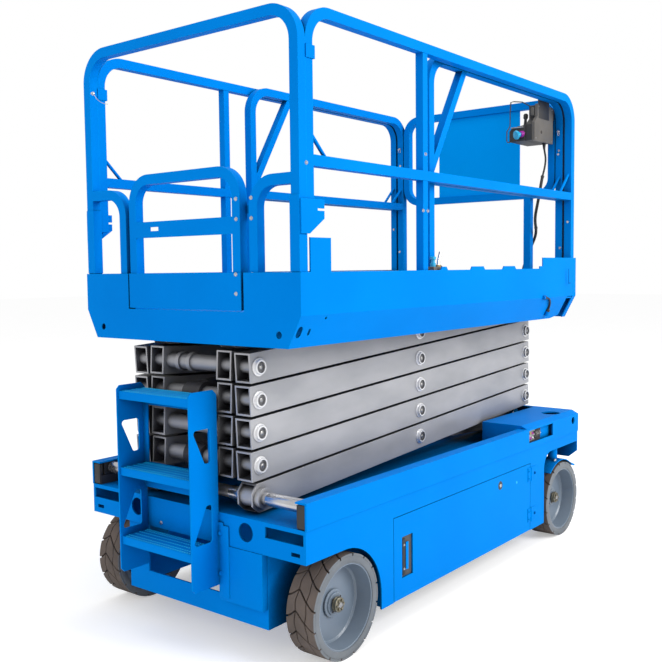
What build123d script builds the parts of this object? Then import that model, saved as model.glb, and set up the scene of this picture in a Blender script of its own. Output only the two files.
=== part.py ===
"""Electric slab scissor lift, stowed: chassis, five-level scissor stack, platform with roll-out deck.

Millimetres, +Z up, +X towards the steered wheels, +Y left.
The origin is on the ground, under the middle of the machine's length and width.
"""
from build123d import *
import os
from math import asin, atan2, cos, degrees, radians, sin

os.makedirs("parts", exist_ok=True)

# ---------------------------------------------------------------- wheels and axles
X_REAR = -855.0               # rear axle
WHEELBASE = 1850.0
X_FRONT = X_REAR + WHEELBASE  # steered axle
WHEEL_R = 190.0
TYRE_WIDTH = 127.0
RIM_R = WHEEL_R - 33
DISH_R = RIM_R - 6            # mouth of the dished disc
HUB_FACE = 72.0               # hub boss, outboard of the wheel's inner face
SPINDLE_R = 20.0
RUN_GAP = 0.3                 # radial gap of every pin in its eye
FACE_GAP = 3.0                # gap between parts that turn past each other

# ---------------------------------------------------------------- chassis
SIDE_OUT = 583.0              # outer face of the slider track
PLATE = 8.0
PANEL_OUT = SIDE_OUT - 4      # outer face of the lower side panel
PANEL_IN = PANEL_OUT - PLATE
WHEEL_OUT = SIDE_OUT + 5
WHEEL_IN = WHEEL_OUT - TYRE_WIDTH
KINGPIN_Y = WHEEL_IN - 41
CH_REAR = X_REAR - 215
CH_FRONT = X_FRONT + 212
SKIRT_Z = 107.0               # lower edge of the side panels
DECK_Z = 515.0                # top of the chassis deck
RAIL_TOP = DECK_Z + 95        # top of the slider track
COVER_TOP = RAIL_TOP + 16     # top of the raised front covers
COVER_X = X_FRONT - 394       # the front covers start here
COVER_IN = 335.0              # inner edge of the front covers
SHOULDER = (36.0, 18.0)       # width and drop of the covers' sloped outer edge
BAND_Z = 397.0                # lower edge of the rear band
REAR_OPENING = (               # in the rear wall: half width, low edge, high edge
    (265.0, 200.0, 341.0),
    (145.0, 340.0, 388.0),
)
APRON_Z = 370.0               # lower edge of the front plate
APRON_CUT = (46.0, 38.0)      # its cut lower corners
WEB_Z = DECK_Z - 55           # lower edge of the side panel over the steered wheel
ARCH_R = WHEEL_R + 35
ARCH_Z = WHEEL_R - 18
TUB_Y = SIDE_OUT - 203
TUB_Z = SKIRT_Z + 8
TUB_FRONT = X_FRONT - 267
PANEL_END = X_FRONT - 203     # front end of the side panel
NOSE_Y = 250.0
NOSE_Z = 290.0
STEER_ARM = 120.0
TIE_Z = WHEEL_R + 40
TIE_R = 11.0

# swing-out side doors
DOOR_REAR = X_REAR + 309
DOOR_FRONT = TUB_FRONT - 94
DOOR_TOP = 437.0
DOOR_GAP = 3.0
HINGE_X = DOOR_FRONT + 8
HINGE_ROWS = (185.0, 386.0)   # heights of the two hinges
HINGE_PIN_R = 4.0
KNUCKLE_R = 7.0
LEAF = 3.0
LATCH_X = DOOR_REAR + 94
LATCH_Z = 270.0
LATCH_SIZE = (76.0, 163.0)
TRAY_IN = TUB_Y + 15          # inner side of the swing-out trays
TRAY_TOP = 260.0
TRAY_SHEET = 5.0

# ladder
LADDER_DEEP = 137.0
LADDER_REAR = CH_REAR - LADDER_DEEP
LADDER_Y = (-165.0, 237.0)
LADDER_LOW = 245.0
LADDER_TALL = 722.0
LADDER_T = 6.0
LADDER_FOOT = 24.0            # outward width of the mounting flanges
RUNG_DROPS = (22.0, 315.0, 582.0)
RUNG_LIP = 30.0

# ---------------------------------------------------------------- scissor stack
LEVELS = 5
PIVOT_Z = DECK_Z + 63         # lowest pivots
PITCH = 118.3                 # rise of one level when stowed
PIN_REAR = CH_REAR + 66
PIN_FRONT = X_FRONT + 120
PIN_MID = (PIN_REAR + PIN_FRONT) / 2
ARM_RUN = PIN_FRONT - PIN_REAR
STOWED = degrees(asin(PITCH / (ARM_RUN ** 2 + PITCH ** 2) ** 0.5))
ARM_H = 108.0
ARM_T = 75.0
ARM_END = 45.0                # tube beyond its end pin
ARM_WALL = 6.5
INNER_IN = 145.0
INNER_OUT = INNER_IN + ARM_T
OUTER_IN = INNER_OUT + 19
OUTER_OUT = OUTER_IN + ARM_T
PIN_R = 20.0
BUSH_R = 27.0
BUSH_IN = OUTER_IN - 8
BUSH_OUT = OUTER_OUT + 14
PIN_END = BUSH_OUT - 5
CROSS_R = 30.0                # cross tubes between the inner arms
ROD_R = 23.0                  # slider rod across the track
ROD_END_R = 15.0              # its ends inside the slide blocks

# sliding blocks, lower and upper: half length, height, inner and outer Y
BLOCK_Z = 50.0
BLOCK_HALF = 40.0
BLOCK_OUT = SIDE_OUT - PLATE - 3
BLOCK_IN = BLOCK_OUT - 35
STRIP_TOP = PIVOT_Z - BLOCK_Z / 2 - 2
UPPER_IN = BUSH_OUT + 14
UPPER_OUT = UPPER_IN + 40
UPPER_Z = 35.0
UPPER_HALF = 30.0

# lift cylinders
BARREL_R = 45.0
BORE_R = 30.5
RAM_R = 30.0
EYE_OUT = 40.0
EYE_FROM_PIN = 600.0          # rod eye, measured along the arm from its front pin
LUG_IN = EYE_OUT + 6
LUG_T = 15.0

# ---------------------------------------------------------------- platform
TOP_PIN_Z = PIVOT_Z + LEVELS * PITCH
DECK_RISE = 70.5              # top pins to the platform's floor
PL_DECK = TOP_PIN_Z + DECK_RISE
PL_REAR = CH_REAR - 4
PL_FRONT = PIN_FRONT + 61
PL_Y = SIDE_OUT - 8
SHEET = 6.0
FLOOR_T = 8.0
TOE_TOP = PL_DECK + 148
SKIRT_FOLD = PL_DECK + 3
SKIRT_LOW = PL_DECK - 110
SKIRT_LEAN = 59.0
SKIRT_END = PL_FRONT - 107
TRACK_LOW = TOP_PIN_Z - UPPER_Z / 2 - 2

# guard rails
TUBE = 38.0
RAIL_Y = PL_Y - SHEET - TUBE / 2          # centre of the main rails
EXT_Y = RAIL_Y - TUBE - 12                # centre of the extension's rails
TOP_Z = PL_DECK + 1019                    # centre of the top rails
MID_Z = PL_DECK + 522
BEND = 110.0
REAR_LEG = PL_REAR + 64
FRONT_LEG = PL_FRONT - 34
MID_POST = -291.0
REAR_RAIL_X = PL_REAR + SHEET + TUBE / 2 + 1
HALF_HOOP_Z = PL_DECK + 461               # centre of the low hoops beside the gate
BRACE_R = 7.0

# gate
GATE_Y = (-275.0, 285.0)
GATE_TOP = PL_DECK + 506
GATE_LOW = PL_DECK + 16
GATE_HINGE_X = REAR_RAIL_X + 28
GATE_HINGE_Y = GATE_Y[0] - 37
GATE_HINGES = (PL_DECK + 108, PL_DECK + 370)
LEG_GAP = 82.0                            # gate tube to the hinge leg, between centres
LATCH_GAP = 60.0                          # gate tube to the latch leg

# roll-out deck
EXT_REAR = -190.0
EXT_SIDE = EXT_Y + 25
EXT_LIFT = 6.0                            # underside above the main floor
EXT_FRONT = PL_FRONT - 2
EXT_TOE = TOE_TOP - 4
FRAME_Z = (MID_Z + 22, TOP_Z)             # centres of the front frame's tubes
FRAME_Y = EXT_Y - TUBE / 2 - 6 - TUBE / 2
FRAME_BEND = 80.0
POST_Y = 318.0


# cords: diameter and route, each between a gland at either end
CONTROL_CORD = 10.0
CONTROL_ROUTE = (
    (1049, -450, 2036), (1050, -450, 2008), (1072, -450, 1965), (1060, -450, 1915), (1034, -448, 1865),
    (1020, -444, 1805), (1026, -428, 1735), (1052, -402, 1675), (1098, -378, 1635), (1148, -362, 1597),
    (1178, -342, 1558), (1186, -315, 1510), (1182, -298, 1455), (1166, -286, 1415), (1148, -283, 1375),
    (1146, -282, 1320), (1146, -282, 1264),
)
SKIRT_HOSE = 9.0
HOSE_ROUTE = (
    (784, -580.5, 1244), (822, -582, 1243), (864, -574, 1224), (893, -557, 1196), (897, -545, 1172),
)
GLAND = 12.0                              # length of a gland


# ---------------------------------------------------------------- helpers
def box(x0, x1, y0, y1, z0, z1):
    """Box between two corners."""
    size = (abs(x1 - x0), abs(y1 - y0), abs(z1 - z0))
    return Pos((x0 + x1) / 2, (y0 + y1) / 2, (z0 + z1) / 2) * Box(*size)


def rod_x(y, z, r, x0, x1):
    """Round bar along the machine."""
    return Pos((x0 + x1) / 2, y, z) * Rot(0, 90, 0) * Cylinder(r, abs(x1 - x0))


def rod_y(x, z, r, y0, y1):
    """Round bar across the machine."""
    return Pos(x, (y0 + y1) / 2, z) * Rot(90, 0, 0) * Cylinder(r, abs(y1 - y0))


def rod_z(x, y, r, z0, z1):
    """Upright round bar."""
    return Pos(x, y, (z0 + z1) / 2) * Cylinder(r, abs(z1 - z0))


def plate_xz(outline, y0, y1):
    """Plate with an XZ outline between two Y values."""
    face = make_face(Polyline(*[(x, 0, z) for x, z in outline], close=True))
    return Pos(0, max(y0, y1), 0) * extrude(face, amount=abs(y1 - y0), dir=(0, -1, 0))


def rounded_xz(outline, radius, y0, y1):
    """Like plate_xz, with its corners rounded."""
    face = make_face(Polyline(*[(x, 0, z) for x, z in outline], close=True))
    face = fillet(face.vertices(), radius)
    return Pos(0, max(y0, y1), 0) * extrude(face, amount=abs(y1 - y0), dir=(0, -1, 0))


def plate_yz(outline, x0, x1):
    """Plate with a YZ outline between two X values."""
    face = make_face(Polyline(*[(0, y, z) for y, z in outline], close=True))
    return Pos(min(x0, x1), 0, 0) * extrude(face, amount=abs(x1 - x0), dir=(1, 0, 0))


def slot_y(x, z, length, width, y0, y1):
    """Round-ended bar across the machine with its long side upright, for cutting slots."""
    reach = (length - width) / 2
    ends = [rod_y(x, z + s * reach, width / 2, y0, y1) for s in (-1, 1)]
    return fuse(box(x - width / 2, x + width / 2, y0, y1, z - reach, z + reach), *ends)


def bent_tube(points, bend, size):
    """Square bar along a flat route with rounded corners."""
    path = FilletPolyline(*points, radius=bend)
    first, second, third = (Vector(*p) for p in points[:3])
    normal = (second - first).cross(third - second)
    section = Plane(origin=first, x_dir=normal, z_dir=second - first) * Rectangle(size, size)
    return sweep(section, path=path)


def straight_tube(p, q, size):
    """Square bar from p to q."""
    p, q = Vector(*p), Vector(*q)
    along = q - p
    side = Vector(0, 1, 0) if abs(along.normalized().Y) < 0.9 else Vector(0, 0, 1)
    return extrude(Plane(origin=p, x_dir=side, z_dir=along) * Rectangle(size, size), amount=along.length)


def thin_brace(p, q):
    """Round bar from p to q."""
    p, q = Vector(*p), Vector(*q)
    along = q - p
    return extrude(Plane(origin=p, z_dir=along) * Circle(BRACE_R), amount=along.length)


def gland(end, inner, radius, length):
    """Round gland behind the end of a cord, in line with the run that comes from its inner point."""
    end, inner = Vector(*end), Vector(*inner)
    return extrude(Plane(origin=end, z_dir=end - inner) * Circle(radius), amount=length)


def fuse(first, *rest):
    """One solid from several that meet."""
    out = first
    for other in rest:
        out = out + other
    return out


def mirrored(shape):
    """The same piece on the other side of the machine."""
    return mirror(shape, about=Plane.XZ)


def write(name, *solids):
    """One STEP file for one node."""
    shape = Compound(label=name, children=list(solids)) if len(solids) > 1 else solids[0]
    export_step(shape, f"parts/{name}.step")


# ---------------------------------------------------------------- wheels and steering
def tyre(x, side):
    """Solid tyre with a bevelled outer shoulder; each row is a radius and a distance from the inner face."""
    wide = TYRE_WIDTH
    profile = [(RIM_R, 0), (WHEEL_R, 0), (WHEEL_R, wide - 14), (WHEEL_R - 11, wide), (RIM_R, wide)]
    ring = revolve(make_face(Polyline(*[(r, 0, d) for r, d in profile], close=True)), axis=Axis.Z)
    turn = Rot(90, 0, 0) if side < 0 else Rot(-90, 0, 0)
    return Pos(x, side * WHEEL_IN, WHEEL_R) * turn * ring


def rim(x, side):
    """Deep-dished disc wheel; each row is a radius and a distance outboard of the inner face."""
    bore = SPINDLE_R + 1
    lip = TYRE_WIDTH - 5
    profile = [(bore, 42), (RIM_R - 39, 42), (RIM_R - 17, 6), (RIM_R, 6), (RIM_R, lip), (DISH_R, lip),
               (DISH_R - 9, 62), (DISH_R - 15, 56), (46, 56), (40, HUB_FACE), (bore, HUB_FACE)]
    body = revolve(make_face(Polyline(*[(r, 0, d) for r, d in profile], close=True)), axis=Axis.Z)
    turn = Rot(90, 0, 0) if side < 0 else Rot(-90, 0, 0)
    return Pos(x, side * WHEEL_IN, WHEEL_R) * turn * body


def spindle(x, side, root):
    """Wheel spindle from the root to the castle nut outside the hub."""
    nut_in = WHEEL_IN + HUB_FACE + FACE_GAP
    shaft = rod_y(x, WHEEL_R, SPINDLE_R, side * root, side * nut_in)
    nut = Pos(x, side * (nut_in + 6), WHEEL_R) * Rot(90, 0, 0) * extrude(RegularPolygon(26, 6), 6, both=True)
    return fuse(shaft, nut)


def knuckle(side):
    """Kingpin post, drive motor, yoke plate over the wheel and steering arm of one steered wheel."""
    y = side * KINGPIN_Y
    post = rod_z(X_FRONT, y, 28, WHEEL_R - 50, DECK_Z - 18)
    motor = rod_y(X_FRONT, WHEEL_R, 52, side * (KINGPIN_Y - 18), side * (WHEEL_IN - FACE_GAP))
    arm = box(X_FRONT - STEER_ARM, X_FRONT, y - 16, y + 16, TIE_Z - 9, TIE_Z + 9)
    eye = rod_z(X_FRONT - STEER_ARM, y, 20, TIE_Z - 9, TIE_Z + 9)
    pin = rod_z(X_FRONT - STEER_ARM, y, 9, TIE_Z + 9, TIE_Z + 44)
    yoke_in = WHEEL_R + 10
    yoke = Cylinder(yoke_in + 6, 145) - Cylinder(yoke_in, 160)
    yoke = Rot(90, 0, 0) * yoke & box(-150, 150, -100, 100, 130, 300)
    yoke = Pos(X_FRONT, side * (KINGPIN_Y + 52), WHEEL_R) * yoke
    return fuse(post, motor, spindle(X_FRONT, side, KINGPIN_Y), arm, eye, pin, yoke)


def tie_rod():
    """Track rod between the two steering arms, with an eye at each end."""
    x = X_FRONT - STEER_ARM
    z = TIE_Z + 28
    bar = rod_y(x, z, TIE_R, -KINGPIN_Y + 16, KINGPIN_Y - 16)
    whole = fuse(bar, *[rod_z(x, s * KINGPIN_Y, 20, z - 13, z + 13) for s in (-1, 1)])
    for side in (-1, 1):
        whole -= rod_z(x, side * KINGPIN_Y, 9 + RUN_GAP, z - 20, z + 20)
    return whole


def rear_axle(side):
    """Stub axle and brake housing of one fixed wheel."""
    hub = rod_y(X_REAR, WHEEL_R, 62, side * TUB_Y, side * (WHEEL_IN - FACE_GAP))
    flange = rod_y(X_REAR, WHEEL_R, 84, side * TUB_Y, side * (TUB_Y + 14))
    return fuse(spindle(X_REAR, side, TUB_Y), hub, flange)


# ---------------------------------------------------------------- chassis
def panel_outline():
    """Side panel in XZ: wheel arch at the rear, a hollow corner and a narrow web at the front."""
    arch_top = ARCH_Z + ARCH_R
    arch_front = X_REAR + ARCH_R
    corner = 80.0
    front = CH_FRONT - PLATE
    return make_face(Wire([
        Edge.make_line((CH_REAR, DECK_Z), (CH_REAR, arch_top)),
        Edge.make_line((CH_REAR, arch_top), (X_REAR, arch_top)),
        CenterArc((X_REAR, ARCH_Z), ARCH_R, 0, 90).edge(),
        Edge.make_line((arch_front, ARCH_Z), (arch_front, SKIRT_Z)),
        Edge.make_line((arch_front, SKIRT_Z), (PANEL_END, SKIRT_Z)),
        Edge.make_line((PANEL_END, SKIRT_Z), (PANEL_END, WEB_Z - corner)),
        CenterArc((PANEL_END + corner, WEB_Z - corner), corner, 90, 90).edge(),
        Edge.make_line((PANEL_END + corner, WEB_Z), (front, WEB_Z)),
        Edge.make_line((front, WEB_Z), (front, DECK_Z)),
        Edge.make_line((front, DECK_Z), (CH_REAR, DECK_Z)),
    ]))


def door_hinge(z, on_door):
    """Right-hand hinge half: leaf, tongue and knuckle on the door, or knuckles and pin on the panel."""
    y = -PANEL_OUT
    tall = 33.0
    mid = 12.0
    if on_door:
        leaf = box(HINGE_X - 34, DOOR_FRONT, y - LEAF, y, z - tall, z + tall)
        tongue = box(DOOR_FRONT, HINGE_X, y - LEAF, y, z - mid, z + mid)
        knuckle_tube = rod_z(HINGE_X, y, KNUCKLE_R, z - mid, z + mid)
        bore = rod_z(HINGE_X, y, HINGE_PIN_R + RUN_GAP, z - tall, z + tall)
        return fuse(leaf, tongue, knuckle_tube) - bore
    leaf = box(HINGE_X + 10, HINGE_X + 54, y - LEAF, y, z - tall, z + tall)
    parts = [leaf, rod_z(HINGE_X, y, HINGE_PIN_R, z - tall, z + tall)]
    for z0, z1 in ((z - tall, z - mid - 1), (z + mid + 1, z + tall)):
        parts.append(rod_z(HINGE_X, y, KNUCKLE_R, z0, z1))
        parts.append(box(HINGE_X, HINGE_X + 10, y - LEAF, y, z0, z1))
    return fuse(*parts)


def side_frame():
    """Right side panel with its door notch and the fixed halves of the door's hinges."""
    panel = Pos(0, -PANEL_IN, 0) * Rot(90, 0, 0) * extrude(panel_outline(), amount=PLATE)
    through = (-PANEL_OUT - 20, -PANEL_IN + 10)
    panel -= box(DOOR_REAR - DOOR_GAP, DOOR_FRONT + DOOR_GAP, *through, SKIRT_Z - 5, DOOR_TOP + DOOR_GAP)
    for z in HINGE_ROWS:
        panel -= box(DOOR_FRONT, HINGE_X + 8, *through, z - 13, z + 13)
        panel += door_hinge(z, on_door=False)
    return panel


def front_cover():
    """Right raised front cover with the ground control bay and the side hole."""
    y = -SIDE_OUT
    front = CH_FRONT - PLATE
    wide, drop = SHOULDER
    web = box(COVER_X, front, y, y + PLATE, DECK_Z, COVER_TOP - drop)
    web -= box(COVER_X + 14, COVER_X + 284, y - 5, y + 20, DECK_Z + 26, COVER_TOP - drop - 6)
    web -= rod_y(CH_FRONT - 68, DECK_Z + 64, 19, y - 5, y + 20)
    bay = box(COVER_X, COVER_X + 300, y + 24, y + 28, DECK_Z, COVER_TOP - PLATE)
    crown, under, eaves = COVER_TOP, COVER_TOP - PLATE, COVER_TOP - drop
    top = [(y, eaves - 2), (y, eaves), (y + wide, crown), (-COVER_IN, crown), (-COVER_IN, under),
           (y + wide + 3, under), (y + PLATE, eaves - 2)]
    cover = plate_yz(top, COVER_X, front)
    cover -= rod_z(X_FRONT + 45, y + 83, 48, COVER_TOP - 20, COVER_TOP + 5)
    wall = box(COVER_X, front, -COVER_IN - SHEET, -COVER_IN, DECK_Z, COVER_TOP - PLATE)
    rear_end = box(COVER_X, COVER_X + SHEET, y + wide, -COVER_IN, DECK_Z, COVER_TOP - PLATE)
    rear_end += box(COVER_X, COVER_X + SHEET, y + PLATE, y + wide, DECK_Z, COVER_TOP - drop - 2)
    bay_end = box(COVER_X + 294, COVER_X + 300, y + PLATE, y + 24, DECK_Z, COVER_TOP - drop - 2)
    return fuse(web, bay, cover, wall, rear_end, bay_end)


def track_web(side):
    """Upright bar of the slider track."""
    return box(CH_REAR, COVER_X, side * (SIDE_OUT - PLATE), side * SIDE_OUT, DECK_Z, RAIL_TOP)


def track_cap(side):
    """Inward lip that keeps the slide block down."""
    inner = BLOCK_IN - 5
    return box(CH_REAR, COVER_X, side * inner, side * (SIDE_OUT - PLATE), RAIL_TOP - 6, RAIL_TOP)


def wear_strip(side):
    """Bar that the slide block runs on."""
    inner = BLOCK_IN - 2
    return box(CH_REAR + 8, 200, side * inner, side * (SIDE_OUT - PLATE), DECK_Z, STRIP_TOP)


def tub_and_deck():
    """Welded plates of the chassis; each row is one plate's corners."""
    under = DECK_Z - PLATE
    wall_x = CH_REAR + 25
    front = CH_FRONT - PLATE
    band_y = PANEL_IN
    rear_head, mid_head = DOOR_REAR - 58, DOOR_REAR + 606
    rows = (
        # x0, x1, y0, y1, z0, z1
        (wall_x, wall_x + PLATE, -TUB_Y, TUB_Y, TUB_Z, BAND_Z + 3),          # rear wall
        (wall_x, TUB_FRONT, -TUB_Y, -TUB_Y + PLATE, TUB_Z, under),           # tub sides
        (wall_x, TUB_FRONT, TUB_Y - PLATE, TUB_Y, TUB_Z, under),
        (rear_head, TUB_FRONT, -TUB_Y, TUB_Y, TUB_Z, TUB_Z + PLATE),         # tub floor
        (CH_REAR, front, -band_y, band_y, under, DECK_Z),                    # deck
        (CH_REAR, CH_REAR + PLATE, -band_y, band_y, BAND_Z, under),          # rear band
        (CH_REAR, wall_x + PLATE, -TUB_Y, TUB_Y, BAND_Z, BAND_Z + PLATE),
        (rear_head, rear_head + PLATE, -TUB_Y, TUB_Y, TUB_Z, under),         # bulkheads
        (mid_head, mid_head + PLATE, -TUB_Y, TUB_Y, TUB_Z, under),
        (TUB_FRONT - PLATE, TUB_FRONT, -band_y, band_y, TUB_Z, under),
        (TUB_FRONT, front, -NOSE_Y, -NOSE_Y + PLATE, NOSE_Z, under),         # nose
        (TUB_FRONT, front, NOSE_Y - PLATE, NOSE_Y, NOSE_Z, under),
        (TUB_FRONT, front, -NOSE_Y, NOSE_Y, NOSE_Z, NOSE_Z + PLATE),
        (front - 15, front, -COVER_IN, COVER_IN, COVER_TOP - PLATE, COVER_TOP),
    )
    frame = fuse(front_plate(), *[box(*row) for row in rows])
    for half_width, z0, z1 in REAR_OPENING:
        frame -= box(wall_x - 5, wall_x + PLATE + 5, -half_width, half_width, z0, z1)
    return frame


def front_plate():
    """Front plate in YZ: chamfered top corners, narrower apron with cut lower corners."""
    wide, drop = SHOULDER
    low_y, low_z = PANEL_OUT, APRON_Z
    cut_y, cut_z = APRON_CUT
    half = [(low_y - cut_y, low_z), (low_y, low_z + cut_z), (low_y, DECK_Z),
            (SIDE_OUT, DECK_Z), (SIDE_OUT, COVER_TOP - drop), (SIDE_OUT - wide, COVER_TOP)]
    outline = half + [(-y, z) for y, z in reversed(half)]
    return plate_yz(outline, CH_FRONT - PLATE, CH_FRONT)


def pivot_lug(side):
    """Upright lug on the deck that carries the lowest front pin."""
    crown = PIVOT_Z + 38
    x = PIN_FRONT
    outline = [(x - 62, DECK_Z), (x - 38, PIVOT_Z + 20), (x - 18, crown), (x + 18, crown),
               (x + 38, PIVOT_Z + 20), (x + 62, DECK_Z)]
    lug = plate_xz(outline, side * OUTER_IN, side * (OUTER_IN + 20))
    return lug - rod_y(x, PIVOT_Z, PIN_R + RUN_GAP, side * INNER_OUT, side * OUTER_OUT)


def chassis_frame():
    """Central tub, deck, rear band, nose, kingpin boxes and pivot lugs."""
    under = DECK_Z - PLATE
    frame = tub_and_deck()
    liner = X_REAR + ARCH_R + 2
    for side in (-1, 1):
        frame += box(liner, liner + PLATE, side * TUB_Y, side * PANEL_IN, TUB_Z, under)
        frame += box(X_FRONT - 60, X_FRONT + 60, side * (NOSE_Y - 2), side * (KINGPIN_Y + 50), 402, under)
        frame -= rod_z(X_FRONT, side * KINGPIN_Y, 28 + RUN_GAP, 390, DECK_Z - 17)
        frame += pivot_lug(side)
        # tie-down hole, then the long slot and the small slot in the rear band
        frame -= rod_x(side * 298, BAND_Z + 65, 35, CH_REAR - 5, CH_REAR + 15)
        frame -= box(CH_REAR - 5, CH_REAR + 15, side * 392, side * (PANEL_IN - 3), BAND_Z + 63, BAND_Z + 103)
        frame -= box(CH_REAR - 5, CH_REAR + 15, side * 512, side * 552, BAND_Z + 21, BAND_Z + 35)
    return frame


def ladder():
    """Rear ladder: two cut-out side plates, three trough rungs and a windowed back plate."""
    x0, x1 = LADDER_REAR, CH_REAR
    low, top = LADDER_LOW, LADDER_LOW + LADDER_TALL
    rungs = [top - drop for drop in RUNG_DROPS]
    side_outline = [(x0 + 14, low), (x1 - 2, low), (x1 - 2, top - 18), (x1 - 20, top),
                    (x0 + 14, top), (x0, top - 14), (x0, low + 14)]
    upper = [(x0 + 13, top - 137), (x1 - 35, top - 137), (x1 - 35, top - 263), (x1 - 66, top - 263)]
    lower = [(x1 - 33, low + 306), (x1 - 61, low + 306), (x0 + 9, low + 167), (x1 - 33, low + 167)]
    parts = []
    inside = (LADDER_Y[0] + LADDER_T, LADDER_Y[1] - LADDER_T)
    for y, out in zip(LADDER_Y, (-1, 1)):
        y0, y1 = sorted((y, y - out * LADDER_T))
        plate = plate_xz(side_outline, y0, y1)
        for cut in (upper, lower):
            plate -= rounded_xz(cut, 12, y0 - 1, y1 + 1)
        parts.append(plate)
        parts.append(box(x1 - 6, x1, y, y + out * LADDER_FOOT, low, low + 235))
        parts.append(box(x1 - 6, x1, y0, y1, low, low + 260))
    for z in rungs:
        parts.append(box(x0 + 8, x1 - 6, *inside, z - 5, z))
        parts.append(box(x0 + 8, x0 + 13, *inside, z - RUNG_LIP, z))
        parts.append(box(x1 - 11, x1 - 6, *inside, z - RUNG_LIP, z))
    back = box(x1 - 11, x1 - 6, *inside, rungs[1] - 96, rungs[0])
    back -= box(x1 - 20, x1, LADDER_Y[0] + 40, LADDER_Y[1] - 30, rungs[1] + 4, rungs[0] - 64)
    return fuse(*parts, back)


# ---------------------------------------------------------------- doors and trays
def door():
    """Right swing-out door with its hinge halves, latch cup and handle."""
    y_out, y_in = -PANEL_OUT, -PANEL_IN
    wide, tall = LATCH_SIZE
    panel = box(DOOR_REAR, DOOR_FRONT, y_out, y_in, SKIRT_Z + 2, DOOR_TOP)
    for z in HINGE_ROWS:
        panel += door_hinge(z, on_door=True)
    x0, x1 = LATCH_X - wide / 2, LATCH_X + wide / 2
    z0, z1 = LATCH_Z - tall / 2, LATCH_Z + tall / 2
    panel -= box(x0, x1, y_out - 5, y_in + 5, z0, z1)
    cup = box(x0 - 4, x1 + 4, y_in, y_in + 3, z0 - 4, z1 + 4)
    handle = box(LATCH_X - 9, LATCH_X + 9, y_out + 1, y_out + 6, LATCH_Z - 55, LATCH_Z + 55)
    posts = [box(LATCH_X - 6, LATCH_X + 6, y_out + 6, y_in, LATCH_Z + s * 45 - 6, LATCH_Z + s * 45 + 6)
             for s in (-1, 1)]
    return fuse(panel, cup, handle, *posts)


def tray():
    """Open steel tray on the inside of the right door."""
    z0 = SKIRT_Z + 8
    x0, x1 = LATCH_X + 12, DOOR_FRONT - 34
    floor = box(x0, x1, -TRAY_IN, -PANEL_IN, z0, z0 + TRAY_SHEET)
    inner = box(x0, x1, -TRAY_IN, -TRAY_IN - TRAY_SHEET, z0, TRAY_TOP)
    ends = [box(x, x + TRAY_SHEET, -TRAY_IN, -PANEL_IN, z0, TRAY_TOP) for x in (x0, x1 - TRAY_SHEET)]
    shape = fuse(floor, inner, *ends)
    return shape - box(x0 - 9, x0 + 40, -PANEL_IN, -PANEL_IN + 11, LATCH_Z - 90, LATCH_Z + 90)


def tray_load(side, length, height):
    """Plain block standing in for what a tray carries."""
    x0 = LATCH_X + 60
    floor = SKIRT_Z + 8 + TRAY_SHEET
    return box(x0, x0 + length, side * (TRAY_IN + 12), side * (PANEL_IN - 12), floor, height)


# ---------------------------------------------------------------- scissor arms
def level_z(k):
    """Height of the end pins at level k."""
    return PIVOT_Z + k * PITCH


def arm_tube(tail, head, y0, y1, cut_tail, cut_head):
    """Open-ended rectangular tube from the tail pin to the head pin, ends chamfered where asked."""
    run = ((head[0] - tail[0]) ** 2 + (head[1] - tail[1]) ** 2) ** 0.5
    h = ARM_H / 2
    e = ARM_END
    c = 30.0
    tail_top = [(-e, h - c), (-e + c, h)] if cut_tail else [(-e, h)]
    tail_low = [(-e + c, -h), (-e, -h + c)] if cut_tail else [(-e, -h)]
    head_top = [(run + e - c, h), (run + e, h - c)] if cut_head else [(run + e, h)]
    head_low = [(run + e, -h + c), (run + e - c, -h)] if cut_head else [(run + e, -h)]
    solid = plate_xz(tail_top + head_top + head_low + tail_low, -(y1 - y0) / 2, (y1 - y0) / 2)
    hollow = Pos(run / 2, 0, 0) * Box(run + 3 * e, (y1 - y0) - 2 * ARM_WALL, ARM_H - 2 * ARM_WALL)
    angle = degrees(atan2(head[1] - tail[1], head[0] - tail[0]))
    return Pos(tail[0], (y0 + y1) / 2, tail[1]) * Rot(0, -angle, 0) * (solid - hollow)


def inner_arm(k):
    """Two inner tubes, their cross tubes, and the pins that carry the outer arms."""
    front = (PIN_FRONT, level_z(k - 1))
    rear = (PIN_REAR, level_z(k))
    mid = (PIN_MID, (front[1] + rear[1]) / 2)
    top = k == LEVELS
    parts = []
    for side in (-1, 1):
        y0, y1 = sorted((side * INNER_IN, side * INNER_OUT))
        parts.append(arm_tube(rear, front, y0, y1, top, k == 1))
        for x, z in (front, mid) if top else (front, mid, rear):
            reach = OUTER_IN + 20 if (k == 1 and x == PIN_FRONT) else PIN_END
            parts.append(rod_y(x, z, PIN_R, side * (INNER_IN + 2), side * reach))
            parts.append(rod_y(x, z, BUSH_R, side * (INNER_IN + 2), side * (INNER_OUT + 4)))
    reach = INNER_IN + 2
    parts.append(rod_y(*front, CROSS_R, -reach, reach))
    if top:
        parts.append(rod_y(*rear, ROD_END_R, -UPPER_OUT, UPPER_OUT))
        parts.append(rod_y(*rear, BUSH_R, -INNER_OUT - 4, INNER_OUT + 4))
    else:
        parts.append(rod_y(*rear, CROSS_R, -reach, reach))
    if k == LEVELS - 1:
        parts += [rod_y(*rear, CROSS_R + 8, y - 9, y + 9) for y in (20, 80)]
    if k in (3, 5):
        parts += [ram_lug(k, side) for side in (-1, 1)]
    return fuse(*parts)


def ram_lug(k, side):
    """Stub from one inner arm to its lug plate beside the rod eye."""
    x, z = ram_eye(k)
    stub = rod_y(x, z, 30, side * (INNER_IN + 2), side * LUG_IN)
    return stub + rod_y(x, z, 40, side * LUG_IN, side * (LUG_IN + LUG_T))


def ram_eye(k):
    """XZ of the rod eye on inner arm k, measured along the arm from its front pin."""
    slope = radians(STOWED)
    return PIN_FRONT - EYE_FROM_PIN * cos(slope), level_z(k - 1) + EYE_FROM_PIN * sin(slope)


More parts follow.
